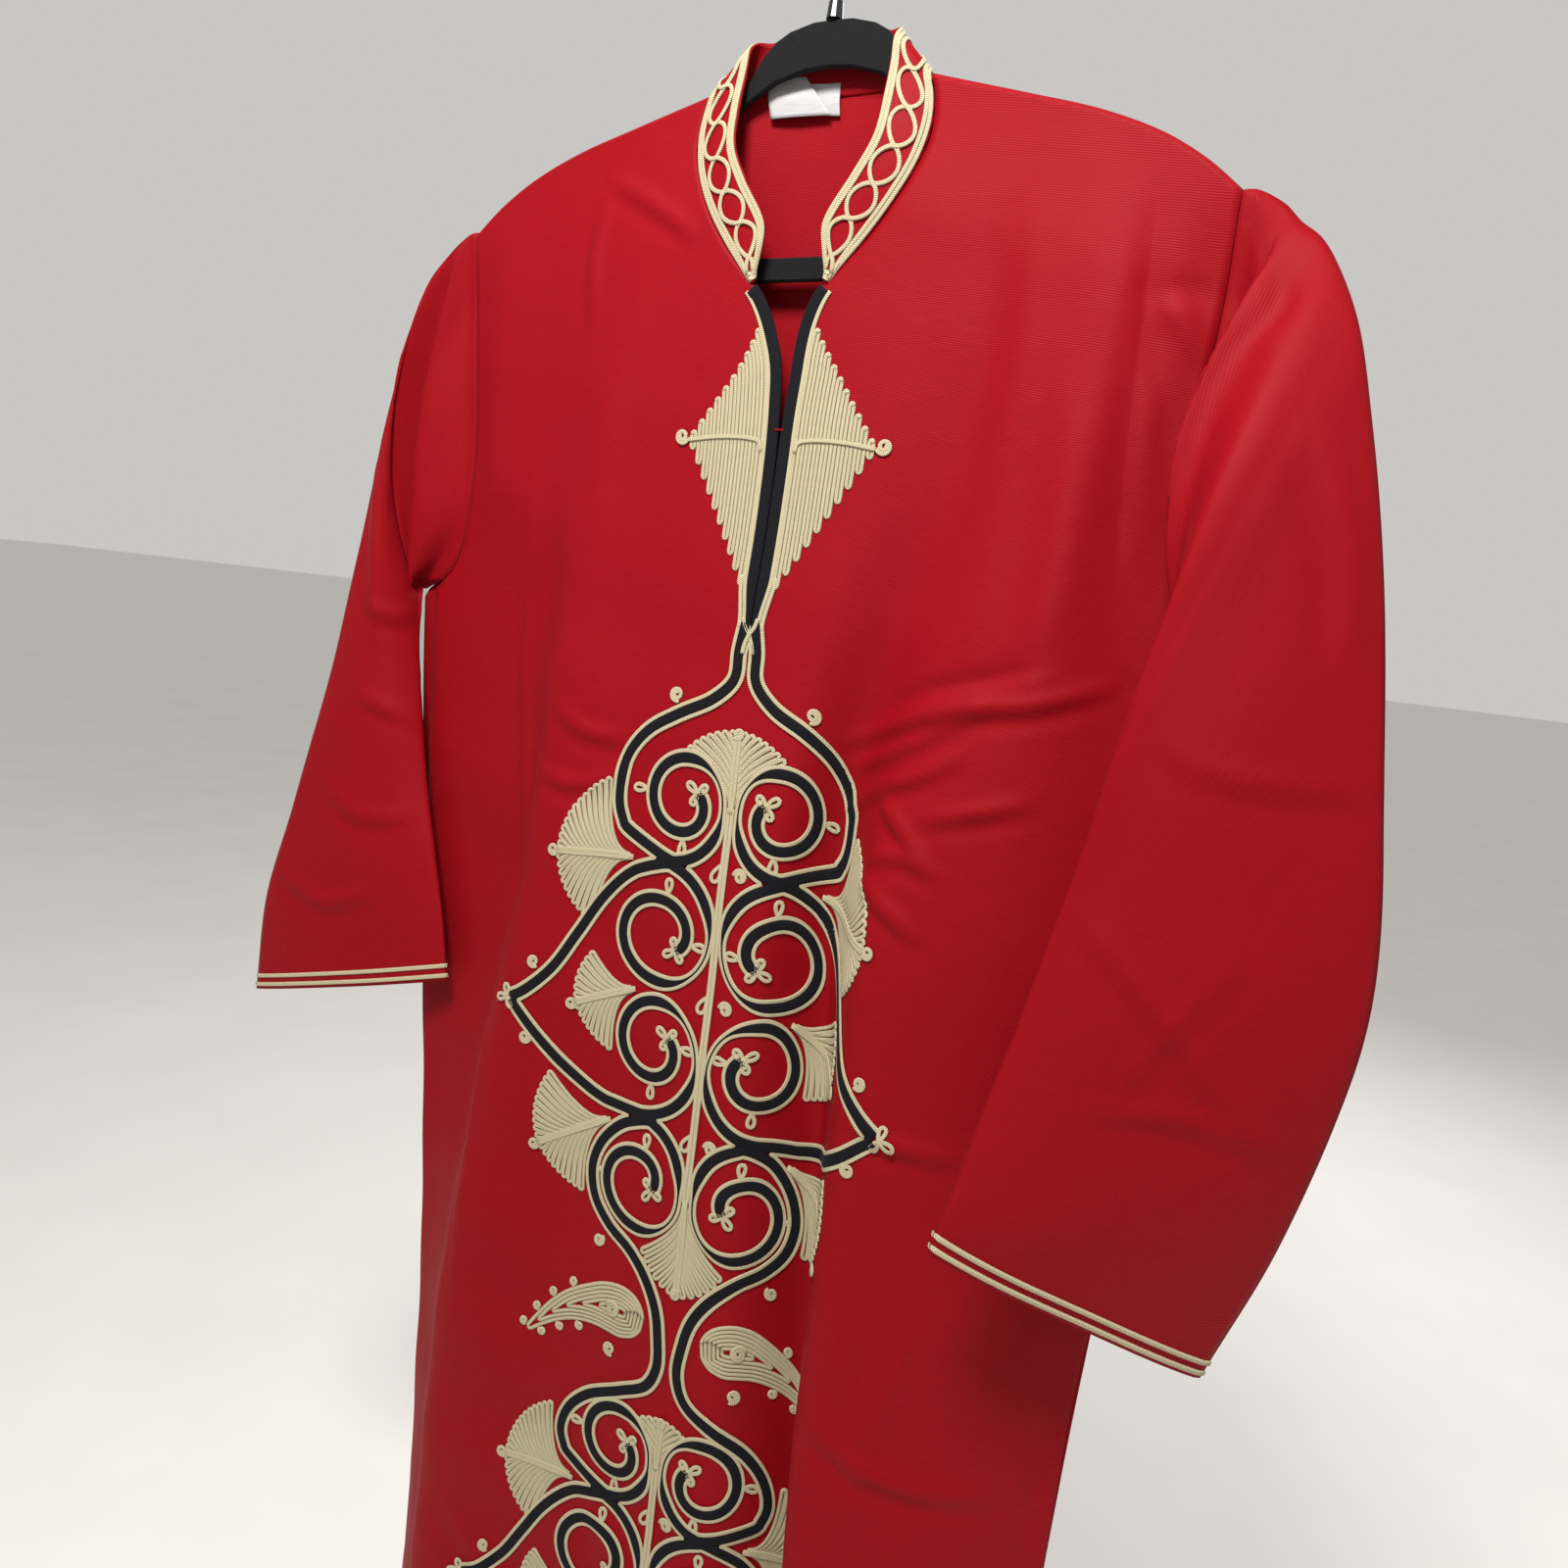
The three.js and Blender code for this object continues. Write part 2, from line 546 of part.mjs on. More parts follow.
// Finds the point of the front's outer facets for flat cloth coordinates (u, z), and moves it out.
const FLAT_FACES = front.triangles.map((tri) => {
  const [a, b, c] = tri.map((id) => front.flat[id]);
  const [us, zs] = [[a.u, b.u, c.u], [a.z, b.z, c.z]];
  const low = [Math.min(...us) - 1, Math.min(...zs) - 1];
  const high = [Math.max(...us) + 1, Math.max(...zs) + 1];
  return { tri, a, b, c, low, high };
});
function layOnFront(u, z, height) {
  const best = { miss: Infinity };
  for (const { tri, a, b, c, low, high } of FLAT_FACES) {
    if (z > high[1] || z < low[1] || u > high[0] || u < low[0]) continue;
    const area = (b.u - a.u) * (c.z - a.z) - (c.u - a.u) * (b.z - a.z);
    const wb = ((u - a.u) * (c.z - a.z) - (c.u - a.u) * (z - a.z)) / area;
    const wc = ((b.u - a.u) * (z - a.z) - (u - a.u) * (b.z - a.z)) / area;
    const miss = Math.max(0, -wb, -wc, wb + wc - 1);
    if (miss < best.miss) Object.assign(best, { miss, tri, w: [1 - wb - wc, wb, wc] });
  }
  if (!best.tri) throw new Error(`no cloth at ${u.toFixed(1)}, ${z.toFixed(1)}`);
  const blend = (of) => best.tri.reduce((sum, id, k) => addScaled(sum, of(id), best.w[k]), [0, 0, 0]);
  const normal = unit(blend((id) => front.normals[id]));
  const skin = blend((id) => addScaled(front.points[id], front.normals[id], CLOTH / 2));
  return addScaled(skin, normal, CLEAR + height);
}

// A flat prism over an outline that runs anticlockwise.
function prism(outline, thickness) {
  const n = outline.length;
  const caps = THREE.ShapeUtils.triangulateShape(outline.map(([x, y]) => new THREE.Vector2(x, y)), []);
  const points = [...outline.map(([x, y]) => [x, y, 0]), ...outline.map(([x, y]) => [x, y, thickness])];
  const faces = caps.flatMap(([a, b, c]) => [[a, c, b], [n + a, n + b, n + c]]);
  for (const i of range(n)) {
    const j = (i + 1) % n;
    faces.push([i, j, n + j], [i, n + j, n + i]);
  }
  return { points, faces };
}

// A flat band along a path of [u, v, half width], from one height to another.
function band(path, top, extra = 0, low = 0) {
  const rims = path.map(([u, v, half], i) => {
    const before = path[Math.max(0, i - 1)];
    const after = path[Math.min(path.length - 1, i + 1)];
    const [du, dv] = unit([after[0] - before[0], after[1] - before[1]]);
    const w = half + extra;
    return [[u + dv * w, v - du * w], [u - dv * w, v + du * w]];
  });
  const points = rims.flatMap(([a, b]) => [[...a, low], [...a, top], [...b, top], [...b, low]]);
  const faces = [[0, 1, 2], [0, 2, 3]];
  for (const i of range(rims.length - 1)) {
    for (const k of range(4)) {
      const [a, b, c, d] = [i * 4 + k, i * 4 + ((k + 1) % 4), i * 4 + 4 + ((k + 1) % 4), i * 4 + 4 + k];
      faces.push([a, d, c], [a, c, b]);
    }
  }
  const e = (rims.length - 1) * 4;
  faces.push([e, e + 2, e + 1], [e, e + 3, e + 2]);
  return { points, faces };
}

const solid = ({ points, faces }) => {
  const made = new wasm.Manifold(new wasm.Mesh({
    numProp: 3, vertProperties: new Float32Array(points.flat()), triVerts: new Uint32Array(faces.flat()),
  }));
  return made;
};
const joined = (parts) => parts.map(solid).reduce((a, b) => a.add(b));
function unsolid(manifold) {
  const mesh = manifold.getMesh();
  const points = range(mesh.vertProperties.length / mesh.numProp)
    .map((i) => Array.from(mesh.vertProperties.slice(i * mesh.numProp, i * mesh.numProp + 3)));
  const faces = range(mesh.triVerts.length / 3)
    .map((i) => Array.from(mesh.triVerts.slice(i * 3, i * 3 + 3)));
  return { points, faces };
}

// The largest connected body of a mesh, without the slivers that a cut leaves.
function largest(manifold) {
  const { points, faces } = unsolid(manifold);
  const parent = points.map((_, i) => i);
  const root = (i) => {
    let r = i;
    while (parent[r] !== r) r = parent[r];
    parent[i] = r;
    return r;
  };
  for (const [a, b, c] of faces) {
    parent[root(a)] = root(b);
    parent[root(b)] = root(c);
  }
  const size = new Map();
  for (const [a, b, c] of faces) {
    const amount = dot(points[a], cross(points[b], points[c]));
    size.set(root(a), (size.get(root(a)) ?? 0) + amount);
  }
  const [main] = [...size].sort((a, b) => b[1] - a[1])[0];
  const kept = points.map((_, i) => i).filter((i) => root(i) === main);
  const index = new Map(kept.map((id, i) => [id, i]));
  return {
    points: kept.map((id) => points[id]),
    faces: faces.filter(([a]) => root(a) === main).map((face) => face.map((id) => index.get(id))),
  };
}

// Splits every edge that is longer than the limit, the same way on both of its sides.
function refined({ points, faces }, limit) {
  const out = [...points];
  const mids = new Map();
  const mid = (a, b) => {
    const key = a < b ? `${a},${b}` : `${b},${a}`;
    if (!mids.has(key)) {
      const [p, q] = [out[a], out[b]];
      if (Math.hypot(p[0] - q[0], p[1] - q[1]) <= limit) mids.set(key, null);
      else {
        out.push(mixPoint(p, q, 0.5));
        mids.set(key, out.length - 1);
      }
    }
    return mids.get(key);
  };
  const next = [];
  for (const [a, b, c] of faces) {
    const m = [mid(a, b), mid(b, c), mid(c, a)];
    const v = [a, b, c];
    const count = m.filter((x) => x !== null).length;
    if (count === 0) next.push(v);
    else if (count === 3) next.push([a, m[0], m[2]], [m[0], b, m[1]], [m[2], m[1], c], [m[0], m[1], m[2]]);
    else {
      const k = count === 1 ? m.findIndex((x) => x !== null) : (m.findIndex((x) => x === null) + 1) % 3;
      const [p, q, r] = [v[k], v[(k + 1) % 3], v[(k + 2) % 3]];
      if (count === 1) next.push([p, m[k], r], [m[k], q, r]);
      else next.push([m[k], q, m[(k + 1) % 3]], [p, m[k], m[(k + 1) % 3]], [p, m[(k + 1) % 3], r]);
    }
  }
  const made = { points: out, faces: next };
  return next.length > faces.length ? refined(made, limit) : made;
}

// Lays a flat piece on a surface and raises it where its own facets would cut into that surface.
const LOWEST = -0.08;
const MOST = 3;
function place({ points, faces }, at) {
  const key = ([u, v]) => `${u.toFixed(3)},${v.toFixed(3)}`;
  const lift = new Map();
  const lifted = ([u, v, h]) => at(u, v, h + (lift.get(key([u, v])) ?? 0));
  const under = faces.filter((face) => face.every((id) => points[id][2] < 0.01));
  const samples = [[0.5, 0.5, 0], [0, 0.5, 0.5], [0.5, 0, 0.5], [0.34, 0.33, 0.33], [0.75, 0.25, 0],
    [0.25, 0.75, 0], [0, 0.75, 0.25], [0, 0.25, 0.75], [0.25, 0, 0.75], [0.75, 0, 0.25]];
  const mix = (list, w) => list.reduce((sum, p, k) => addScaled(sum, p, w[k]), [0, 0, 0]);
  for (const pass of range(3)) {
    for (const face of under) {
      const corners = face.map((id) => points[id]);
      const placed = corners.map(lifted);
      let short = 0;
      for (const w of samples) {
        const [u, v] = mix(corners, w);
        const skin = at(u, v, 0);
        short = Math.max(short, LOWEST - dot(sub(mix(placed, w), skin), sub(at(u, v, 1), skin)));
      }
      if (short < 0.01) continue;
      for (const p of corners) {
        const raised = (lift.get(key(p)) ?? 0) + short * (pass ? 0.6 : 1);
        lift.set(key(p), Math.min(MOST, raised));
      }
    }
  }
  return { points: points.map(lifted), faces };
}

// Ornament.

// Flat ornament coordinates: u from the centre line, v down from the slit's end. The left half is listed.
const TAPE_HALF = 6.2;
const TAPE_HEIGHT = 1.6;
const FAN_HEIGHT = 2;
const REPEAT = -492;
const SLIT_TO_TOP = [[6.8, -14], [8.2, -37], [22, -52], [48, -66], [72, -81], [86, -98], [91, -116],
  [90, -137], [80, -157]];
const WAIST_TO_LOBE = [[8.5, -541], [16, -559], [38, -573], [68, -590], [84, -608], [89, -628], [80, -650]];
const LOBE_TO_TIP = [[62, -175], [80, -187], [98, -206], [116, -234], [134, -262], [156, -283], [170, -292]];
const TIP_TO_LOBE = [[166, -293], [141, -318], [117, -337], [90, -352], [68, -358]];
const LOBE_TO_WAIST = [[50, -363], [64, -372], [78, -389], [84, -410], [79, -433], [64, -450], [43, -462],
  [27, -477], [15, -497], [10, -518], [8.5, -541]];
// Spirals: centre, first angle and turning sense; radius over the turned angle, and where the tape runs thin.
const SPIRALS = [
  {
    centre: [35, -122], start: -82, sense: -1,
    turned: [0, 98, 188, 278, 368, 450, 480],
    radius: [47, 28.5, 27, 28, 25, 13, 9],
  },
  {
    centre: [42, -225], start: 88, sense: 1,
    turned: [0, 92, 182, 272, 362, 452, 485],
    radius: [54, 36, 32, 36, 27, 17, 12],
  },
  {
    centre: [40, -300], start: -84, sense: -1,
    turned: [0, 96, 186, 276, 366, 450, 480],
    radius: [57, 34, 29, 29, 27, 16, 11],
  },
  {
    centre: [38, -410], start: 90, sense: 1,
    turned: [0, 90, 180, 270, 360, 430, 450],
    radius: [50, 32, 33, 32, 23, 12, 9],
  },
];
const THIN = { turned: [0, 45, 85, 130, 190, 520], half: [6.2, 6.2, 3, 3, 6.2, 6.2] };

function smoothPath(points, steps) {
  const n = (points.length - 1) * steps;
  return range(n + 1).map((i) => [...curveAt(points, i / steps), TAPE_HALF]);
}
function spiralPath({ centre, start, sense, turned, radius }, step = 33) {
  const end = turned[turned.length - 1];
  const n = Math.ceil(end / step);
  return range(n + 1).map((i) => {
    const turn = (end * i) / n;
    const angle = THREE.MathUtils.degToRad(start + sense * turn);
    const r = rowsAt(turned, radius, turn);
    const half = rowsAt(THIN.turned, THIN.half, turn);
    return [centre[0] + r * Math.cos(angle), centre[1] + r * Math.sin(angle), half];
  });
}
const moved = (path, dv) => path.map(([u, v, ...w]) => [u, v + dv, ...w]);

function scrollPaths(repeat) {
  const dv = repeat * REPEAT;
  const starts = SPIRALS.map((s) => spiralPath(s));
  const top = repeat ? moved(WAIST_TO_LOBE, -dv) : SLIT_TO_TOP;
  const flat = [
    smoothPath([...top, starts[0][0].slice(0, 2), starts[0][1].slice(0, 2)], 1),
    smoothPath([starts[1][1].slice(0, 2), starts[1][0].slice(0, 2), ...LOBE_TO_TIP], 1),
    smoothPath([...TIP_TO_LOBE, starts[2][0].slice(0, 2), starts[2][1].slice(0, 2)], 1),
    smoothPath(repeat ? LOBE_TO_WAIST.slice(0, -2) : LOBE_TO_WAIST, 1),
    ...starts,
  ];
  return flat.map((path) => moved(path, dv));
}
const mirrored = (path, side) => (side > 0 ? path : path.map(([u, v, w]) => [-u, v, w]));
// The cloth hangs lower away from the centre line: how far, for each half.
const SAG = { right: { from: 60, over: 110, drop: 7 }, left: { from: 40, over: 110, drop: 27 } };
const sagAt = (u) => {
  const { from, over, drop } = u < 0 ? SAG.right : SAG.left;
  return drop * smooth((Math.abs(u) - from) / over);
};
const onFront = (u, v, h) => layOnFront(u, SLIT_END_Z + v - sagAt(u), h);
// The room that the tapes take, wider by a margin, to cut other pieces back from.
const tapeRoom = (repeats, side, margin) => joined(repeats.flatMap((repeat) => scrollPaths(repeat))
  .map((path) => band(mirrored(path, side), 3, margin, -1)));
const keepOut = { 1: tapeRoom([0, 1], 1, 0.9), [-1]: tapeRoom([0, 1], -1, 0.9) };

for (const side of [-1, 1]) {
  const hand = side < 0 ? 'right' : 'left';
  for (const repeat of [0, 1]) {
    let made = joined(scrollPaths(repeat).map((path) => band(mirrored(path, side), TAPE_HEIGHT)));
    if (repeat) made = made.subtract(tapeRoom([0], side, 0.5));
    const name = `scroll_${repeat ? 'lower' : 'upper'}_${hand}`;
    addPiece(name, place(refined(largest(made), 30), onFront), VELVET);
  }
}

// A fan of corded loops: root, rib tip, half spreads in degrees and edge lengths, as a share of the rib.
function fanOutline({ root, tip, spread, edge, loops }) {
  const rib = [tip[0] - root[0], tip[1] - root[1]];
  const length = Math.hypot(...rib);
  const aim = Math.atan2(rib[1], rib[0]);
  const outline = [];
  const count = loops * 2;
  for (const i of range(count + 1)) {
    const t = (i / count) * 2 - 1;
    const angle = aim + THREE.MathUtils.degToRad(t < 0 ? t * spread[0] : t * spread[1]);
    const share = lerp(1, t < 0 ? edge[0] : edge[1], Math.abs(t) ** 1.4);
    const r = length * share * (i % 2 ? 1 : 0.93);
    outline.push([root[0] + r * Math.cos(angle), root[1] + r * Math.sin(angle)]);
  }
  return [[root[0], root[1]], ...outline];
}
const FANS = [
  { name: 'upper', root: [74, -172], tip: [139, -173], spread: [58, 66], edge: [0.95, 0.95], loops: 6 },
  { name: 'middle', root: [62, -267], tip: [113, -286], spread: [52, 48], edge: [1.0, 0.85], loops: 5 },
  { name: 'lower', root: [72, -369], tip: [135, -401], spread: [46, 52], edge: [0.95, 0.9], loops: 6 },
];
for (const side of [-1, 1]) {
  const hand = side < 0 ? 'right' : 'left';
  for (const repeat of [0, 1]) {
    for (const fan of FANS) {
      const outline = fanOutline(fan).map(([u, v]) => [u * side, v + repeat * REPEAT]);
      const flat = solid(prism(side > 0 ? outline : outline.reverse(), FAN_HEIGHT)).subtract(keepOut[side]);
      const laid = place(refined(largest(flat), 34), onFront);
      addPiece(`fan_${fan.name}_${repeat + 1}_${hand}`, laid, CREAM);
    }
  }
}

// The stem with its top and bottom fans, one for each medallion.
const STEM = { half: 2.3, top: -124, bottom: -409 };
for (const repeat of [0, 1]) {
  const dv = repeat * REPEAT;
  const topTip = repeat ? -86 : -66;
  const heights = [STEM.top + 4, ...range(7).map((i) => lerp(STEM.top, STEM.bottom, i / 6)), STEM.bottom - 4];
  const upper = { root: [0, -126 + dv], tip: [0, topTip + dv], spread: [46, 46], edge: [0.98, 0.98], loops: 5 };
  const lower = { root: [0, -407 + dv], tip: [0, -483 + dv], spread: [34, 34], edge: [0.8, 0.8], loops: 5 };
  const parts = [
    band(heights.map((v) => [0, v + dv, STEM.half]), FAN_HEIGHT),
    prism(fanOutline(upper), FAN_HEIGHT),
    prism(fanOutline(lower), FAN_HEIGHT),
  ];
  const made = joined(parts).subtract(keepOut[1]).subtract(keepOut[-1]);
  addPiece(`stem_${repeat + 1}`, place(refined(largest(made), 38), onFront), CREAM);
}

// Paisleys beside the waist: a round head and a tapering curved tail.
const PAISLEY = [[24, -514, 5], [31, -513, 15], [42, -512, 20], [56, -513, 19.5], [72, -517, 16],
  [90, -524, 12.5], [106, -534, 9], [120, -546, 5.5], [132, -558, 2.5]];
for (const side of [-1, 1]) {
  const flat = solid(band(mirrored(PAISLEY, side), FAN_HEIGHT)).subtract(keepOut[side]);
  const laid = place(refined(largest(flat), 22), onFront);
  addPiece(`paisley_${side < 0 ? 'right' : 'left'}`, laid, CREAM);
}

// Tape down each edge of the slit, and the half diamonds of corded loops beside it.
const SLIT_TAPE = { half: 3.6, from: -172, to: -374 };
const DIAMOND = { from: -190, tip: [66, -264], to: -361, loops: 8, notch: 2.4 };
const tapeEdge = (z) => neckHalf(z) + SLIT_TAPE.half * 2 + 1.6;
for (const side of [-1, 1]) {
  const hand = side < 0 ? 'right' : 'left';
  const tape = range(13).map((i) => {
    const z = lerp(SLIT_TAPE.from, SLIT_TAPE.to, i / 12);
    return [slitMiddle(z) + side * (neckHalf(z) + SLIT_TAPE.half + 0.4), z, SLIT_TAPE.half];
  });
  addPiece(`slit_tape_${hand}`, place(band(tape, TAPE_HEIGHT), layOnFront), VELVET);
  const ends = [DIAMOND.from, DIAMOND.to].map((z) => [tapeEdge(z) + 1.5, z]);
  const edge = range(DIAMOND.loops * 2 + 1).map((i) => {
    const t = i / DIAMOND.loops;
    const on = t < 1 ? mixPoint(ends[0], DIAMOND.tip, t) : mixPoint(DIAMOND.tip, ends[1], t - 1);
    return i % 2 || i === 0 || i === DIAMOND.loops * 2 ? on : [on[0] - DIAMOND.notch, on[1]];
  });
  const inner = range(13).map((i) => {
    const z = lerp(DIAMOND.to, DIAMOND.from, i / 12);
    return [tapeEdge(z), z];
  });
  const outline = [...inner, ...edge].map(([u, z]) => [slitMiddle(z) + u * side, z]);
  const flat = prism(side > 0 ? outline.reverse() : outline, FAN_HEIGHT);
  addPiece(`diamond_${hand}`, place(refined(flat, 46), layOnFront), CREAM);
}

// Cuffs.
const BRAID = { half: 1.8, height: 1.4, clear: 1.15, rows: [4.5, 12.5] };
for (const [hand, sleeve] of Object.entries(sleeves)) {
  const n = RING_HALF * 2;
  const last = sleeve.rings.length - 1;
  const order = (i) => (hand === 'left' ? (n - i) % n : i);
  const normalAt = (ring, i) => sleeve.normals[ring * n + order(i)];
  BRAID.rows.forEach((distance, k) => {
    const sections = range(n).map((i) => {
      const [a, b] = [sleeve.rings[last][i], sleeve.rings[last - 1][i]];
      const corner = (across, height) => {
        const t = (distance + across) / Math.hypot(...sub(b, a));
        const normal = mixPoint(normalAt(last, i), normalAt(last - 1, i), t);
        return addScaled(mixPoint(a, b, t), normal, CLOTH / 2 + BRAID.clear + height);
      };
      const { half, height } = BRAID;
      return [corner(-half, 0), corner(half, 0), corner(half, height), corner(-half, height)];
    });
    const faces = [];
    for (const i of range(n)) {
      for (const c of range(4)) {
        const [p, q] = [i * 4 + c, i * 4 + ((c + 1) % 4)];
        const [r, t] = [((i + 1) % n) * 4 + ((c + 1) % 4), ((i + 1) % n) * 4 + c];
        faces.push(...(hand === 'left' ? [[p, r, q], [p, t, r]] : [[p, q, r], [p, r, t]]));
      }
    }
    addPiece(`cuff_braid_${k + 1}_${hand}`, { points: sections.flat(), faces }, CREAM);
  });
}

// Collar.

// Half of the stand collar, from its front end to the centre back: seam height, then the top edge's
// half width, y and z.
const COLLAR_ROWS = [
  { seam: -162, top: [19.5, -12.8, -157] },
  { seam: -154, top: [18, -14, -142] },
  { seam: -139, top: [22, -15.5, -122] },
  { seam: -114, top: [38, -17, -97] },
  { seam: -90, top: [49, -16, -75] },
  { seam: -68, top: [51, -12, -50] },
  { seam: -50, top: [51, -7, -27] },
  { seam: -40, top: [50.5, -5, -12.5] },
];
const COLLAR_BACK = [
  { half: 77, top: [50, 0.6, -6.5] },
  { half: 63, top: [43, 8, -3.5] },
  { half: 36, top: [26, 12, -2.5] },
  { half: 0, top: [0, 13.5, -2] },
];
const COLLAR_STEPS = 2;
const COLLAR_ACROSS = 2;
const COLLAR_WALL = 1.8;
const COLLAR_GAP = 1.1;
function neckEdgeAt(side, z) {
  const edge = front.ids[side > 0 ? 1 : 0].slice(0, UPPER.length).map((row) => front.points[row[0]]);
  let i = 0;
  while (i < edge.length - 2 && edge[i + 1][2] > z) i += 1;
  return mixPoint(edge[i], edge[i + 1], clamp((z - edge[i][2]) / (edge[i + 1][2] - edge[i][2]), 0, 1));
}
function collarHalf(side) {
  const rows = [
    ...COLLAR_ROWS.map(({ seam, top }) => {
      const p = neckEdgeAt(side, seam);
      return [p[0] - side * COLLAR_GAP, p[1], p[2], CENTRE_X + side * top[0], top[1], top[2]];
    }),
    ...COLLAR_BACK.map(({ half, top }) => {
      const p = backPoint(CENTRE_X + side * half, -38);
      const y = half === 77 ? 0 : p[1];
      const seam = [CENTRE_X + side * (half - COLLAR_GAP), y, half === 77 ? -34.2 : -36.8];
      return [...seam, CENTRE_X + side * top[0], top[1], top[2]];
    }),
  ];
  const n = (rows.length - 1) * COLLAR_STEPS;
  return range(n + 1).map((i) => {
    const v = curveAt(rows, i / COLLAR_STEPS);
    return range(COLLAR_ACROSS + 1).map((k) => {
      const t = k / COLLAR_ACROSS;
      const bow = Math.sin(Math.PI * t) * 1.6;
      const base = mixPoint(v.slice(0, 3), v.slice(3, 6), t);
      const behind = smooth((i / COLLAR_STEPS - 7) / 2);
      return [base[0], base[1] + bow * (behind * 2 - 1), base[2]];
    });
  });
}
const collarRows = [...collarHalf(1), ...collarHalf(-1).reverse().slice(1)];
const collar = gridSurface(collarRows);
addPiece('collar', wall(collar, COLLAR_WALL), RED);

// Braid round the collar's edges, laid on its outer face with a lattice of two waving cords between.
const collarLength = [0];
for (let i = 1; i < collarRows.length; i += 1) {
  const step = sub(mixPoint(collarRows[i][0], collarRows[i][COLLAR_ACROSS], 0.5),
    mixPoint(collarRows[i - 1][0], collarRows[i - 1][COLLAR_ACROSS], 0.5));
  collarLength.push(collarLength[i - 1] + Math.hypot(...step));
}
const COLLAR_TOTAL = collarLength[collarLength.length - 1];
function layOnCollar(s, t, height) {
  let i = 0;
  while (i < collarLength.length - 2 && collarLength[i + 1] < s) i += 1;
  const a = clamp((s - collarLength[i]) / (collarLength[i + 1] - collarLength[i]), 0, 1);
  const k = clamp(Math.floor(t * COLLAR_ACROSS), 0, COLLAR_ACROSS - 1);
  const b = t * COLLAR_ACROSS - k;
  const id = (j, c) => j * (COLLAR_ACROSS + 1) + c;
  const corners = a + b < 1
    ? [[id(i, k), 1 - a - b], [id(i + 1, k), a], [id(i, k + 1), b]]
    : [[id(i + 1, k + 1), a + b - 1], [id(i, k + 1), 1 - a], [id(i + 1, k), 1 - b]];
  const blend = (of) => corners.reduce((sum, [v, w]) => addScaled(sum, of(v), w), [0, 0, 0]);
  const normal = unit(blend((v) => collar.normals[v]));
  const skin = blend((v) => addScaled(collar.points[v], collar.normals[v], COLLAR_WALL / 2));
  return addScaled(skin, normal, CLEAR + height);
}
const COLLAR_WIDE = 36;
const COLLAR_BRAID = { half: 2.4, inset: 4, cord: 1.5, wave: 52, height: 1.5 };
const inset = COLLAR_BRAID.inset;
// Places along the collar where its facets meet, with the lattice's turning points between them.
const within = (s) => s > inset + 2 && s < COLLAR_TOTAL - inset - 2;
const crests = Math.round(COLLAR_TOTAL / COLLAR_BRAID.wave) * 2;
const crestAt = range(crests + 1).map((i) => lerp(inset, COLLAR_TOTAL - inset, i / crests));
const facing = (s) => unit(sub(layOnCollar(s, 0.5, 1), layOnCollar(s, 0.5, 0)));
const sharp = collarLength.filter((s) => within(s) && dot(facing(s - 9), facing(s + 9)) < 0.88);
const bends = collarLength.filter((s, i) => within(s) && (i % 2 === 0 || sharp.includes(s)));
const folds = [inset, ...bends, COLLAR_TOTAL - inset];
const apart = sharp.filter((s) => crestAt.every((c) => Math.abs(c - s) > 2.5));
const stops = [...crestAt, ...apart].sort((a, b) => a - b);
const latticeAt = (s, phase) => {
  const i = clamp(Math.floor(((s - inset) / (COLLAR_TOTAL - 2 * inset)) * crests), 0, crests - 1);
  const t = (s - crestAt[i]) / (crestAt[i + 1] - crestAt[i]);
  const from = (i + phase) % 2 ? 1 : -1;
  return COLLAR_WIDE / 2 + lerp(from, -from, t) * (COLLAR_WIDE / 2 - inset - 1);
};
const ends = [inset, COLLAR_WIDE / 2, COLLAR_WIDE - inset];
const collarParts = [
  ...[ends[0], ends[2]].map((w) => folds.map((s) => [s, w, COLLAR_BRAID.half])),
  ...[inset, COLLAR_TOTAL - inset].map((s) => ends.map((w) => [s, w, COLLAR_BRAID.half])),
  ...[0, 1].map((phase) => stops.map((s) => [s, latticeAt(s, phase), COLLAR_BRAID.cord])),
].map((path) => band(path, COLLAR_BRAID.height));
const collarFlat = refined(largest(joined(collarParts)), 60);
addPiece('collar_braid', place(collarFlat, (s, w, h) => layOnCollar(s, w / COLLAR_WIDE, h)), CREAM);

// Labels inside the back neck, held along their top edge against the collar's inner face.
function collarInside(x, z) {
  for (const tri of collar.triangles) {
    const [a, b, c] = tri.map((id) => collar.points[id]);
    if (Math.max(a[1], b[1], c[1]) < 3) continue;
    const area = (b[0] - a[0]) * (c[2] - a[2]) - (c[0] - a[0]) * (b[2] - a[2]);
    const wb = ((x - a[0]) * (c[2] - a[2]) - (c[0] - a[0]) * (z - a[2])) / area;
    const wc = ((b[0] - a[0]) * (z - a[2]) - (x - a[0]) * (b[2] - a[2])) / area;
    if (wb >= -0.01 && wc >= -0.01 && wb + wc <= 1.01) return a[1] + wb * (b[1] - a[1]) + wc * (c[1] - a[1]);
  }
  throw new Error(`no collar at ${x}, ${z}`);
}
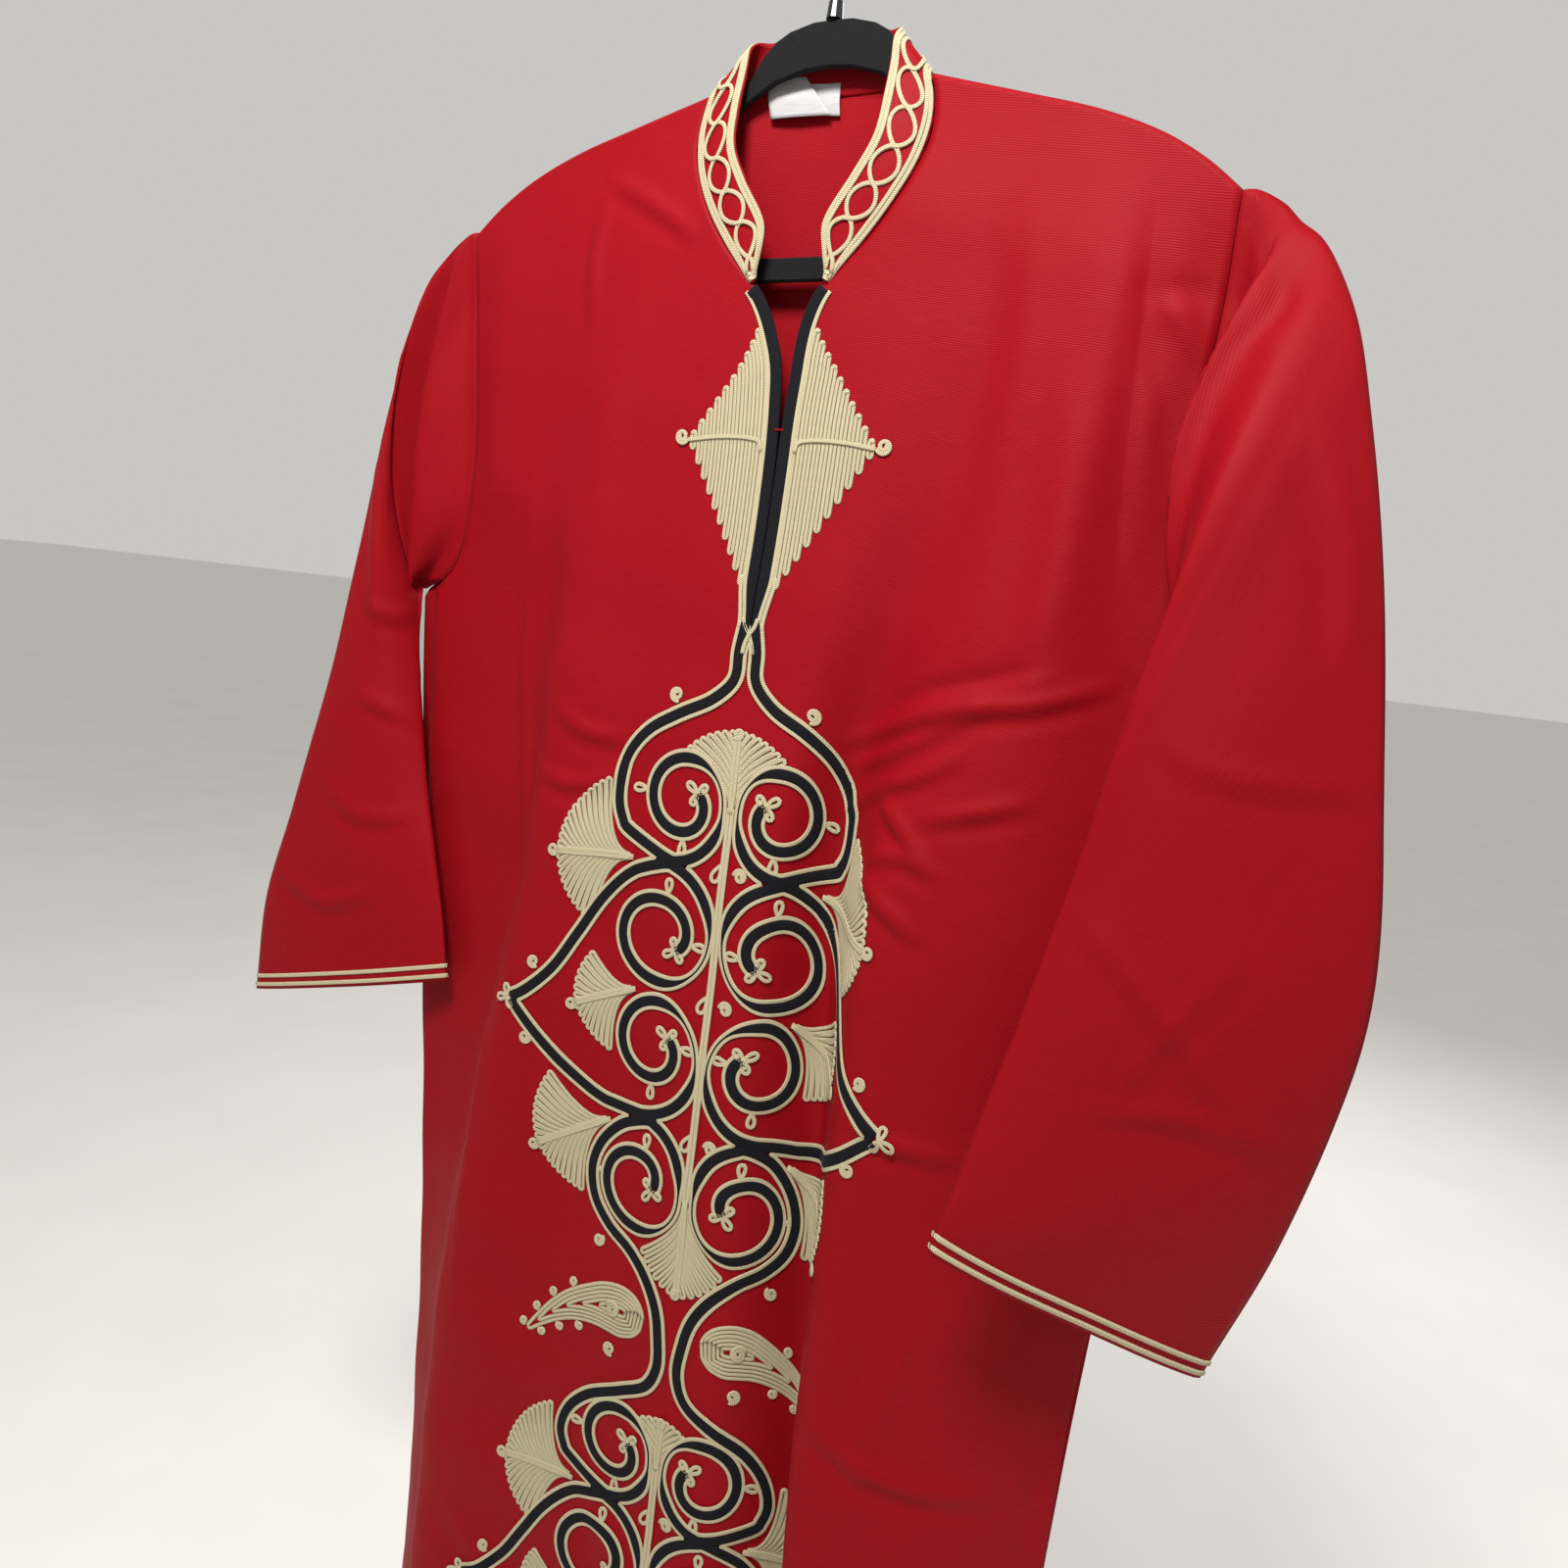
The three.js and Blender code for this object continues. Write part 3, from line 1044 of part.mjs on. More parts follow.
// Corner heights and widths of each label, and the depth its lower edge hangs at.
const LABELS = [
  { name: 'neck_label_large', top: [[-50, -24.5], [-22, -25]], bottom: [[-42, -52], [2, -52]], free: 5.6 },
  { name: 'neck_label_small', top: [[-19, -30], [4, -31]], bottom: [[-21, -50], [7, -52]], free: 8.6 },
];
const LABEL_WALL = 1;
const LABEL_OFF = 0.4;
for (const { name, top, bottom, free } of LABELS) {
  const rows = range(4).map((j) => range(5).map((i) => {
    const [upper, lower] = [mixPoint(top[0], top[1], i / 4), mixPoint(bottom[0], bottom[1], i / 4)];
    const [x, z] = mixPoint(upper, lower, j / 3);
    const held = collarInside(...upper) - COLLAR_WALL / 2 - LABEL_OFF - LABEL_WALL / 2;
    return [x, lerp(held, free, smooth(j / 2)), z];
  }));
  addPiece(name, wall(gridSurface(rows), LABEL_WALL), WHITE);
}

// Hanger.
const HANGER_THICK = 5;
// Half of the hanger's outer outline, and of its opening, from the centre outwards: distance and height.
const HANGER_HUMP = [[0, 2], [14, 1.5], [30, -2.5], [40, -8], [48, -16], [55, -28], [62, -39.5], [72, -44.5]];
const HANGER_ARM = { at: [95, 110, 141, 185, 205], below: [4.6, 3.1, 3, 3, 3.4] };
const HANGER_TIP = [[217, -89], [221, -102], [216, -124], [203, -143], [188, -155], [172, -157.5]];
const HANGER_INNER = [[0, -26], [18, -27.5], [38, -33], [55, -43], [80, -60], [120, -71], [165, -84],
  [190, -93], [201, -104], [199, -122], [188, -137], [174, -142.5]];
const tilted = (side) => ([x, z]) => [side * x, z + side * TILT * Math.max(0, x - 66)];
const hangerHalf = (side) => [
  ...HANGER_HUMP.map(tilted(side)),
  ...HANGER_ARM.at.map((x, i) => {
    const under = shoulderZ(Math.abs(side * x - CENTRE_X), side) - HANGER_ARM.below[i];
    return [side * x, under];
  }),
  ...HANGER_TIP.map(tilted(side)),
];
const shapeOf = (left, right) => [...left, ...right.slice(1).reverse()]
  .map(([x, z]) => new THREE.Vector2(x, z));
const hangerShape = new THREE.Shape(shapeOf(hangerHalf(1), hangerHalf(-1)).reverse());
const opening = [1, -1].map((side) => HANGER_INNER.map(tilted(side)));
hangerShape.holes.push(new THREE.Path(shapeOf(...opening)));
const hangerBevel = 1;
const hangerGeometry = new THREE.ExtrudeGeometry(hangerShape, {
  depth: HANGER_THICK - 2 * hangerBevel,
  bevelEnabled: true,
  bevelSize: hangerBevel,
  bevelThickness: hangerBevel,
  bevelOffset: -hangerBevel,
  bevelSegments: 1,
  steps: 1,
});
hangerGeometry.rotateX(Math.PI / 2);
hangerGeometry.translate(0, HANGER_THICK / 2 - hangerBevel, -HOOK_RISE);
const hangerMesh = new THREE.Mesh(hangerGeometry, FLOCK);
hangerMesh.name = 'hanger';
pieces.push(hangerMesh);

// The hook: a wire that rises from its socket and turns over; its inner top is the origin.
const WIRE = 3.6;
const HOOK_R = 20;
const ferrule = new THREE.LatheGeometry([[0, 2.4], [5.5, 2.4], [4.6, 13], [3.2, 15], [0, 15]]
  .map(([x, y]) => new THREE.Vector2(x, y)), 12);
ferrule.rotateX(Math.PI / 2);
ferrule.translate(0, 0, -HOOK_RISE);
const ferruleMesh = new THREE.Mesh(ferrule, FLOCK);
ferruleMesh.name = 'hook_socket';
pieces.push(ferruleMesh);

const hookCentre = WIRE / 2 - HOOK_R;
const hookPath = [[0, 15.3 - HOOK_RISE], [0, 19 - HOOK_RISE], [-2, 23 - HOOK_RISE]];
for (const degrees of [215, 195, 172, 149, 126, 103, 80, 57, 34, 11, -12, -32]) {
  const angle = THREE.MathUtils.degToRad(degrees);
  hookPath.push([HOOK_R * Math.cos(angle), hookCentre + HOOK_R * Math.sin(angle)]);
}
const wireShape = new THREE.Shape(range(8).map((i) => {
  const angle = (i * Math.PI) / 4;
  return new THREE.Vector2((Math.cos(angle) * WIRE) / 2, (Math.sin(angle) * WIRE) / 2);
}));
const hookGeometry = new THREE.ExtrudeGeometry(wireShape, {
  steps: 22, extrudePath: new THREE.CatmullRomCurve3(hookPath.map(([x, z]) => new THREE.Vector3(x, 0, z))),
});
const hookMesh = new THREE.Mesh(hookGeometry, STEEL);
hookMesh.name = 'hook';
pieces.push(hookMesh);

// Export.
const garment = new THREE.Group();
garment.name = 'galabeya_on_hanger';
for (const mesh of pieces) garment.add(mesh);
export default garment;
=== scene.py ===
"""Looks of a red galabeya on a flocked hanger: creased cloth, velvet tape and corded braid."""

import math

import bmesh
import bpy
import numpy as np
from mathutils import Matrix, Vector


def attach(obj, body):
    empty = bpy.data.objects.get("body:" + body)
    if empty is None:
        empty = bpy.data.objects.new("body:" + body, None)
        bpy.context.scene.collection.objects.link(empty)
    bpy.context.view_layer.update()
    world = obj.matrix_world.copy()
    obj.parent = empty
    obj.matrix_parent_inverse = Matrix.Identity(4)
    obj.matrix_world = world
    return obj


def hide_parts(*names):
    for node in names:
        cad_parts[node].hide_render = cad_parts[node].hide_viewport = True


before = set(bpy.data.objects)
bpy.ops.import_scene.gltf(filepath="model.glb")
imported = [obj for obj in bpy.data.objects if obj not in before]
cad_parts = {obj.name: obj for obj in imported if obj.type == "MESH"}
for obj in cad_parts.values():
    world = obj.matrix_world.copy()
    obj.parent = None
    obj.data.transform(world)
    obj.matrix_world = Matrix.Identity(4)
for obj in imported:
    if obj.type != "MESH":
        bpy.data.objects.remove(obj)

bl_info = {
    "name": "Galabeya on a hanger",
    "version": (1, 0, 0),
    "blender": (4, 5, 0),
    "location": "View3D > Sidebar > Galabeya",
    "description": "Builds the cloth, the corded ornament and the hanger of a red galabeya",
    "category": "Add Mesh",
}

# Lengths in the tables are millimetres. Heights are counted from the hanger's neck top.
MM = 0.001
HOOK_RISE = 62.0
CENTRE_X = -5.0
HEM_Z = -1470.0
SLIT_END_Z = -385.0
UNDERARM_Z = -388.0
NECK_HALF = 77.0
NECK_Z = -36.0
BACK_NECK_DEPTH = 12.0
SHOULDER_HALF = 273.0
SEAM_SHIFT = 0.95
TILT = 0.014
UNDER_BACK_NECK = -38.0
SLIT_TOP_Z = -163.0
# Points between two control columns, rows between two table rows above and all rows below the underarm.
FINE = 24
FRONT_FINE, BACK_FINE, SLEEVE_FINE = 14, 8, 14
FRONT_LOWER, BACK_LOWER = 232, 160
BACK_CENTRE = 3
# Half the cloth's wall, which ornament is laid above, and the hands by side.
WALL_HALF = 0.6
HAND = {-1: "right", 1: "left"}
SIDES = (-1, 1)

# The front's control columns are sideRight, panel, flank, ridge, middle, centre, brow, valley, crest,
# swell, turn and sideLeft. Each row holds a height, the columns' x and the columns' y.
FRONT_CENTRE = 5
FRONT_ROWS = (
    (-20, (-330, -250, -185, -155, -80, -5, 70, 150, 185, 210, 232, 330),
     (8, -3, -5, -7, -10, -12, -12, -9, -10, -9, -4, 6)),
    (-118, (-328, -250, -185, -155, -80, -5, 70, 150, 182, 208, 230, 328),
     (8, -3, -6, -9, -12, -13, -12, -9, -11, -10, -3, 6)),
    (-290, (-324, -245, -182, -152, -82, -3, 62, 118, 160, 205, 236, 322),
     (10, 0, -8, -16, -18, -17, -16, -8, -16, -17, -2, 9)),
    (-420, (-320, -245, -182, -154, -82, 0, 48, 88, 130, 195, 250, 312),
     (12, 2, -8, -23, -22, -22, -21, -3, -19, -23, -2, 12)),
    (-560, (-306, -245, -184, -160, -82, 4, 36, 73, 114, 186, 255, 304),
     (12, 3, -6, -29, -28, -30, -28, 7, -28, -27, -8, 12)),
    (-740, (-290, -250, -208, -185, -92, 5, 39, 82, 111, 182, 250, 288),
     (12, 5, -6, -32, -30, -33, -30, 8, -30, -30, -8, 13)),
    (-950, (-275, -254, -232, -211, -104, 5, 48, 96, 113, 182, 245, 279),
     (14, 4, -10, -34, -30, -36, -32, 9, -37, -34, -8, 14)),
    (-1150, (-270, -256, -236, -217, -108, 5, 56, 108, 122, 184, 245, 279),
     (16, 3, -12, -36, -32, -38, -33, 10, -41, -37, -8, 15)),
    (-1470, (-280, -264, -244, -224, -112, 5, 64, 116, 131, 192, 254, 290),
     (18, 2, -14, -39, -34, -41, -34, 10, -46, -41, -8, 17)),
)
BACK_ROWS = (
    (-20, (-330, -200, -100, -5, 95, 195, 330), (8, 6, 9, 12, 9, 6, 6)),
    (-118, (-328, -200, -100, -5, 95, 195, 328), (8, 8, 12, 14, 12, 8, 6)),
    (-420, (-320, -205, -105, -5, 95, 200, 312), (12, 20, 14, 24, 16, 22, 12)),
    (-740, (-290, -200, -100, -5, 95, 195, 288), (12, 30, 17, 30, 19, 32, 13)),
    (-1100, (-271, -190, -95, 0, 95, 190, 279), (15, 36, 20, 36, 21, 38, 15)),
    (-1470, (-280, -190, -92, 4, 98, 192, 290), (18, 44, 22, 42, 24, 46, 17)),
)
SHOULDER = ((66, 80, 141, 185, 222, 250, 273), (-33, -37, -53.5, -66, -81, -98, -117))
NECK_EDGE = ((-36, -50, -70, -92, -117, -141, -163, -172, -185, -200, -215, -240, -262, -300, -345, -385),
             (77, 82.5, 84.5, 79, 66, 48, 26, 18.5, 12, 7.4, 4.6, 2.5, 1.6, 1.1, 0.8, 0.6))
SLIT_LEAN = ((-163, -190, -225, -262, -300, -345, -385), (0, 3, 6, 6, 5, 3, 0))
ARMHOLE = ((-116, -160, -220, -280, -335, -368, -388), (273, 273, 271, 270, 277, 290, 312))
# Rows from the shoulder to the underarm, as shares of the way, and rows between two of the front's.
UPPER = (0, 0.0115, 0.046, 0.09, 0.16, 0.232, 0.301, 0.367, 0.47, 0.64, 0.84, 1)
BACK_UPPER = (0, 0.0115, 0.06, 0.15, 0.32, 0.55, 0.8, 1)
SPLIT = 5
ARMHOLE_ROWS = (len(UPPER) - 1) * SPLIT

# Sleeve rings: outer xyz, inner xyz, front bulge xy, back bulge.
SLEEVES = {-1: (
    (-292, -4, -126, -322, -3, -386, -8, -9, 16), (-303, -5, -136, -327, 2, -388, -10, 8, 20),
    (-320, -8, -158, -326, 6, -391, -18, -12, 28), (-335, -11, -205, -321, 5, -402, -10, -14, 23),
    (-348, -16, -275, -314, 0, -430, -4, -14, 15), (-364, -19, -365, -304, -3, -480, 0, -12, 15),
    (-383, -22, -460, -290, -6, -540, 0, -11, 18), (-415, -25, -580, -272, -9, -600, 0, -11, 20),
    (-439, -26, -665, -256, -11, -652, 0, -10, 17), (-448, -25, -752, -247, -12, -698, 0, -8, 13),
), 1: (
    (290, -4, -122, 300, -8, -384, -12, -14, 16), (300, -6, -132, 284, -22, -386, -34, -22, 26),
    (312, -10, -142, 276, -30, -394, -20, -18, 40), (324, -16, -160, 262, -66, -402, -6, -22, 44),
    (338, -22, -190, 258, -76, -430, 0, -16, 44), (352, -24, -240, 252, -82, -475, 0, -13, 40),
    (374, -25, -330, 243, -87, -525, 0, -12, 34), (393, -25, -440, 233, -92, -580, 0, -12, 28),
    (405, -25, -548, 222, -97, -632, 0, -12, 24), (398, -24, -620, 213, -101, -680, 0, -11, 20),
    (382, -20, -700, 207, -104, -706, 0, -10, 16), (353, -14, -797, 203, -104, -728, 0, -8, 13),
)}

# Flat ornament: u from the centre line, v down from the slit's end. The left half is listed and mirrored.
SLIT_TO_TOP = ((3.4, 2), (5.2, -8), (6.8, -18), (8.2, -37), (22, -52), (48, -66), (72, -81), (86, -98),
               (91, -116), (90, -137), (80, -157))
WAIST_TO_LOBE = ((16, -559), (38, -573), (68, -590), (84, -608), (89, -628), (80, -650))
LOBE_TO_TIP = ((62, -175), (80, -187), (98, -206), (116, -234), (134, -262), (156, -283), (168, -291))
TIP_TO_LOBE = ((168, -293), (141, -318), (117, -337), (90, -352), (68, -358))
LOBE_TO_WAIST = ((50, -363), (64, -372), (78, -389), (84, -410), (79, -433), (64, -450), (43, -462),
                 (27, -477), (15, -497), (10, -518), (8.5, -541))
# Spirals: centre, first angle, sense, turned angles and radii.
SPIRALS = (
    ((35, -122), -82, -1, (0, 98, 188, 278, 368, 450, 480), (47, 28.5, 27, 28, 25, 13, 9)),
    ((42, -225), 88, 1, (0, 92, 182, 272, 362, 452, 485), (54, 36, 32, 36, 27, 17, 12)),
    ((40, -300), -84, -1, (0, 96, 186, 276, 366, 450, 480), (57, 34, 29, 29, 27, 16, 11)),
    ((38, -410), 90, 1, (0, 90, 180, 270, 360, 430, 450), (50, 32, 33, 32, 23, 12, 9)),
)
# Half width of a spiral's tape by turned angle: it thins where another tape passes over it.
THIN = ((0, 45, 85, 130, 190, 520), (6.2, 6.2, 3, 3, 6.2, 6.2))
TAPE_HALF = 6.2
# The second medallion's drop below the first, and how far each side's ornament sags: (from u, over, drop).
REPEAT = -492.0
SAG = {-1: (60, 110, 7), 1: (40, 110, 27)}
# Fans: name, root, rib tip, spreads in degrees and edge lengths as a share of the rib.
FANS = (
    ("upper", (74, -172), (139, -173), (58, 66), (0.95, 0.95)),
    ("middle", (62, -267), (113, -286), (52, 48), (1.0, 0.85)),
    ("lower", (72, -369), (135, -401), (46, 52), (0.95, 0.9)),
)
PAISLEY = ((24, -514, 5), (31, -513, 15), (42, -512, 20), (56, -513, 19.5), (72, -517, 16), (90, -524, 12.5),
           (106, -534, 9), (120, -546, 5.5), (132, -558, 2.5))
# Curls round the paisley: share of its spine, side of it and radius.
PAISLEY_CURLS = ((0.5, 1, 4.6), (0.66, 1, 4.6), (0.82, 1, 4.4), (0.97, 1, 4.2),
                 (0.56, -1, 4.6), (0.74, -1, 4.4), (0.9, -1, 4.2))
# The slit: the tape's outer edge from the neck's edge, where it narrows, the cords' crossing (u, height)
# and the bar tack; then the half diamond's columns.
TAPE_EDGE = 8.8
NARROWING_Z = -352
SLIT_CROSSING = ((5.6, -380), (3.4, -386), (0, -391), (-2.6, -397), (-4.0, -404))
BAR_TACK_Z = -256.0
DIAMOND_COLUMNS, DIAMOND_PITCH, COLUMN_HALF = 10, 5.7, 1.45
# Loose curls beside the tape: u, v and radius.
CURLS = ((52, -53, 6.5), (151, -260, 6), (153, -320, 6.5), (72, -465, 6))
STEM_CURLS = ((13, -169, 6.5), (13, -263, 6.5), (14, -365, 6.5))
# Single loops on the spirals: spiral and turned angle.
SPIRAL_LOOPS = ((0, 278), (0, 368), (1, 362), (1, 452), (2, 456), (2, 366), (3, 270), (3, 360))

# Half of the stand collar: seam height and the top edge's half width, y and z; then its back part by
# half width.
COLLAR_ROWS = ((-162, 19.5, -12.8, -157), (-154, 18, -14, -142), (-139, 22, -15.5, -122),
               (-114, 38, -17, -97), (-90, 49, -16, -75), (-68, 51, -12, -50), (-50, 51, -7, -27),
               (-40, 50.5, -5, -12.5))
COLLAR_BACK = ((77, 50, 0.6, -6.5), (63, 43, 8, -3.5), (36, 26, 12, -2.5), (0, 0, 13.5, -2))
COLLAR_WIDE = 36.0
# Half the studio floor's width, in metres.
FLOOR_HALF = 60.0
# Neck labels: name, the four corners as (x, height) and the depth of the free end.
LABELS = (
    ("neck_label_large", (-50, -24.5), (-22, -25), (-42, -52), (2, -52), 5.6),
    ("neck_label_small", (-19, -30), (4, -31), (-21, -50), (7, -52), 8.6),
)

# Creases, listed one by one: points, half width and rise out of the cloth, with a trough beside each crest.
# The front's points are flat places (u, height).
CREASE_GAIN = 1.55
TROUGH_SHARE = 0.45
TROUGH_OFFSET = 1.8
FRONT_CREASES = (
    (((78, -452), (120, -435), (160, -420), (200, -412), (245, -396)), 5.5, 2.6),
    (((84, -470), (120, -453), (150, -434), (175, -420)), 5, 2.0),
    (((104, -426), (147, -407), (177, -398), (214, -382)), 5.5, -1.6),
    (((88, -497), (120, -476), (144, -466), (168, -448)), 5, 2.2),
    (((120, -486), (144, -501), (164, -520)), 5, 2.2),
    (((154, -493), (183, -483), (216, -471)), 5.5, 2.0),
    (((119, -537), (150, -555), (172, -568)), 5.5, 2.2),
    (((122, -526), (146, -518), (175, -525)), 5, 1.8),
    (((148, -699), (186, -706), (224, -704)), 6, 1.8),
    (((-203, -290), (-204, -492), (-196, -633), (-201, -792), (-204, -984)), 4.5, 1.5),
    (((-152, -461), (-122, -475), (-90, -474)), 5.5, 1.8),
    (((-167, -509), (-130, -514), (-94, -499)), 5.5, 1.8),
    (((-150, -90), (-112, -108), (-76, -129)), 5.5, 1.7),
    (((-153, -104), (-158, -140), (-157, -184)), 6, 1.4),
    (((166, -916), (207, -933), (255, -938), (287, -935)), 7, 2.4),
    (((219, -810), (208, -880), (203, -940), (200, -1008)), 9, 2.4),
    (((330, -895), (334, -945), (337, -995)), 8, 1.8),
    (((156, -114), (160, -186), (153, -284)), 13, 1.4),
    (((234, -162), (250, -220), (258, -280)), 8, -1.8),
    (((201, -238), (203, -320), (201, -412)), 13, 1.8),
    (((240, -171), (256, -188), (270, -208)), 6.5, 1.3),
    (((236, -169), (252, -166), (268, -171)), 6.5, -1.2),
    (((235, -177), (248, -200), (253, -232)), 7, 1.3),
    (((-110, -150), (-130, -230), (-138, -330)), 14, 1.6),
    (((-60, -1040), (-20, -1120), (10, -1230)), 12, 1.8),
    (((150, -1060), (200, -1110), (250, -1190)), 12, 2.2),
    (((-190, -1120), (-140, -1180), (-110, -1270)), 11, 2.0),
)
BACK_CREASES = (
    (((-150, -260), (-100, -330), (-60, -420)), 12, 2.2),
    (((150, -250), (110, -330), (70, -400)), 12, 2.2),
    (((-235, -165), (-215, -200), (-205, -250)), 6, 2.2),
    (((232, -170), (214, -196), (190, -205)), 6, 2.2),
    (((-120, -500), (-70, -520), (20, -515)), 7, 2.0),
    (((-120, -600), (-60, -680), (40, -720)), 10, 2.0),
    (((60, -640), (120, -655), (190, -640)), 7, 2.2),
    (((60, -820), (120, -900), (180, -1000)), 12, 2.4),
    (((-200, -1000), (-140, -1080), (-60, -1150)), 12, 2.2),
    (((0, -1200), (60, -1260), (140, -1340)), 12, 2.0),
)
# The sleeves' points are (x, height), by side.
SLEEVE_CREASES = {
    -1: (
        (((-346, -404), (-330, -411), (-308, -412)), 6, 1.7),
        (((-352, -477), (-328, -484), (-304, -493)), 6, 1.7),
        (((-345, -300), (-340, -370), (-334, -430)), 7, 1.8),
        (((-376, -556), (-340, -576), (-298, -571)), 6, 2.2),
        (((-420, -640), (-372, -655), (-322, -640)), 6, 2.0),
    ),
    1: (
        (((306, -188), (288, -212), (275, -256)), 7, 1.1),
        (((312, -184), (287, -241), (268, -310), (264, -398)), 8, 1.3),
        (((284, -416), (300, -428), (341, -433), (388, -430)), 6.5, 1.3),
        (((250, -515), (284, -544), (321, -584), (368, -636)), 6.5, 1.3),
        (((271, -624), (327, -623), (370, -637)), 7, 1.2),
        (((288, -616), (311, -569), (336, -532)), 7, 0.8),
        (((286, -150), (297, -170), (301, -194)), 7, -1.0),
        (((330, -250), (352, -300), (366, -370)), 8, 1.8),
    ),
}


# Small mathematics.

def smooth(t):
    c = np.clip(t, 0.0, 1.0)
    return c * c * (3 - 2 * c)


def lerp(a, b, t):
    return a + (b - a) * t


def unit(v):
    return v / np.maximum(np.linalg.norm(v, axis=-1, keepdims=True), 1e-9)


def rows_at(keys, values, at):
    """Smooth values between table rows that never pass beyond them."""
    keys, values = np.asarray(keys, float), np.asarray(values, float)
    flat = values.ndim == 1
    values = values.reshape(len(keys), -1)
    if keys[1] < keys[0]:
        keys, values = keys[::-1], values[::-1]
    gap = np.diff(keys)[:, None]
    rise = np.diff(values, axis=0) / gap
    slope = np.vstack([rise[:1], (values[2:] - values[:-2]) / (gap[1:] + gap[:-1]), rise[-1:]])
    cap = 3 * np.minimum(abs(rise[1:]), abs(rise[:-1]))
    slope[1:-1] = np.where(rise[1:] * rise[:-1] <= 0, 0, np.clip(slope[1:-1], -cap, cap))
    at = np.clip(np.atleast_1d(np.asarray(at, float)), keys[0], keys[-1])
    i = np.clip(np.searchsorted(keys, at, "right") - 1, 0, len(keys) - 2)
    t = ((at - keys[i]) / gap[i, 0])[:, None]
    h = gap[i]
    out = ((2 * t**3 - 3 * t**2 + 1) * values[i] + (t**3 - 2 * t**2 + t) * h * slope[i]
           + (3 * t**2 - 2 * t**3) * values[i + 1] + (t**3 - t**2) * h * slope[i + 1])
    return out[:, 0] if flat else out


def curve_at(points, p):
    """Centripetal curve through points along the last axis but one, at positions counted in points."""
    points = np.asarray(points, float)
    p = np.atleast_1d(np.asarray(p, float))
    n = points.shape[-2]
    before = 2 * points[..., :1, :] - points[..., 1:2, :]
    after = 2 * points[..., -1:, :] - points[..., -2:-1, :]
    padded = np.concatenate([before, points, after], axis=-2)
    i = np.clip(np.floor(p).astype(int), 0, n - 2)
    t = (p - i)[:, None]
    p0, p1, p2, p3 = (padded[..., i + k, :] for k in range(4))
    t01, t12, t23 = (np.maximum(1e-3, np.sqrt(np.linalg.norm(b - a, axis=-1, keepdims=True)))
                     for a, b in ((p0, p1), (p1, p2), (p2, p3)))
    m1 = (p2 - p1) + t12 * ((p1 - p0) / t01 - (p2 - p0) / (t01 + t12))
    m2 = (p2 - p1) + t12 * ((p3 - p2) / t23 - (p3 - p1) / (t12 + t23))
    a = p1 - p2
    return ((2 * a + m1 + m2) * t - 3 * a - 2 * m1 - m2) * t * t + m1 * t + p1


def evenly(path, step):
    """The path again, with points an even step apart."""
    path = np.asarray(path, float)
    length = run_along(path[:, :2])
    n = max(3, int(round(length[-1] / step)) + 1)
    at = np.linspace(0, length[-1], n)
    return np.stack([np.interp(at, length, path[:, k]) for k in range(path.shape[1])], axis=1)


def smooth_path(points, step=2.5):
    points = np.asarray(points, float)
    return evenly(curve_at(points, np.linspace(0, len(points) - 1, (len(points) - 1) * 12 + 1)), step)


def run_along(points):
    """Length from the first point to each point."""
    return np.concatenate([[0], np.cumsum(np.linalg.norm(np.diff(points, axis=0), axis=1))])


def across_of(path):
    """Unit directions across a flat path, to its left."""
    d = unit(np.gradient(path[:, :2], axis=0))
    return np.stack([-d[:, 1], d[:, 0]], axis=1)


def pick(source, values, at):
    """Row by row, the values where the rising source reaches the wanted number."""
    i = np.clip((source < at[:, None]).sum(1) - 1, 0, source.shape[1] - 2)
    r = np.arange(len(at))
    t = np.clip((at - source[r, i]) / (source[r, i + 1] - source[r, i]), 0, 1)
    return values[r, i] + (values[r, i + 1] - values[r, i]) * t[:, None]


# Surfaces of the garment.

def shoulder_z(half, side):
    first = SHOULDER[0][0]
    reach = np.clip(half, first, SHOULDER_HALF)
    return rows_at(*SHOULDER, reach) + side * TILT * (reach - first)


def neck_half(z):
    return rows_at(*NECK_EDGE, np.clip(z, SLIT_END_Z, NECK_Z))


def slit_middle(z):
    return rows_at(*SLIT_LEAN, np.clip(z, SLIT_END_Z, SLIT_TOP_Z))


def armhole_half(z):
    return rows_at(*ARMHOLE, np.clip(z, UNDERARM_Z, ARMHOLE[0][0]))


class Panel:
    """Horizontal sections of a hanging panel: each line lists column, cloth length, x and y."""

    def __init__(self, rows, centre, away):
        self.z = [r[0] for r in rows]
        self.table = np.array([[r[1], r[2]] for r in rows], float)
        self.columns = self.table.shape[2]
        self.centre, self.away = centre, away

    def lines(self, z):
        z = np.atleast_1d(z)
        n = self.columns
        flat = rows_at(self.z, self.table.reshape(len(self.z), -1), z)
        flat = flat.reshape(len(z), 2, n).transpose(0, 2, 1).copy()
        flat[:, (0, -1), 1] += self.away
        p = np.linspace(0, n - 1, (n - 1) * FINE + 1)
        line = curve_at(flat, p)
        length = np.zeros(line.shape[:2])
        length[:, 1:] = np.cumsum(np.linalg.norm(np.diff(line, axis=1), axis=2), axis=1)
        length -= length[:, self.centre * FINE][:, None]
        column = np.broadcast_to(p[None, :, None], (*line.shape[:2], 1))
        return np.concatenate([column, length[..., None], line], axis=2)


FRONT = Panel(FRONT_ROWS, FRONT_CENTRE, -SEAM_SHIFT)
BACK = Panel(BACK_ROWS, BACK_CENTRE, SEAM_SHIFT)


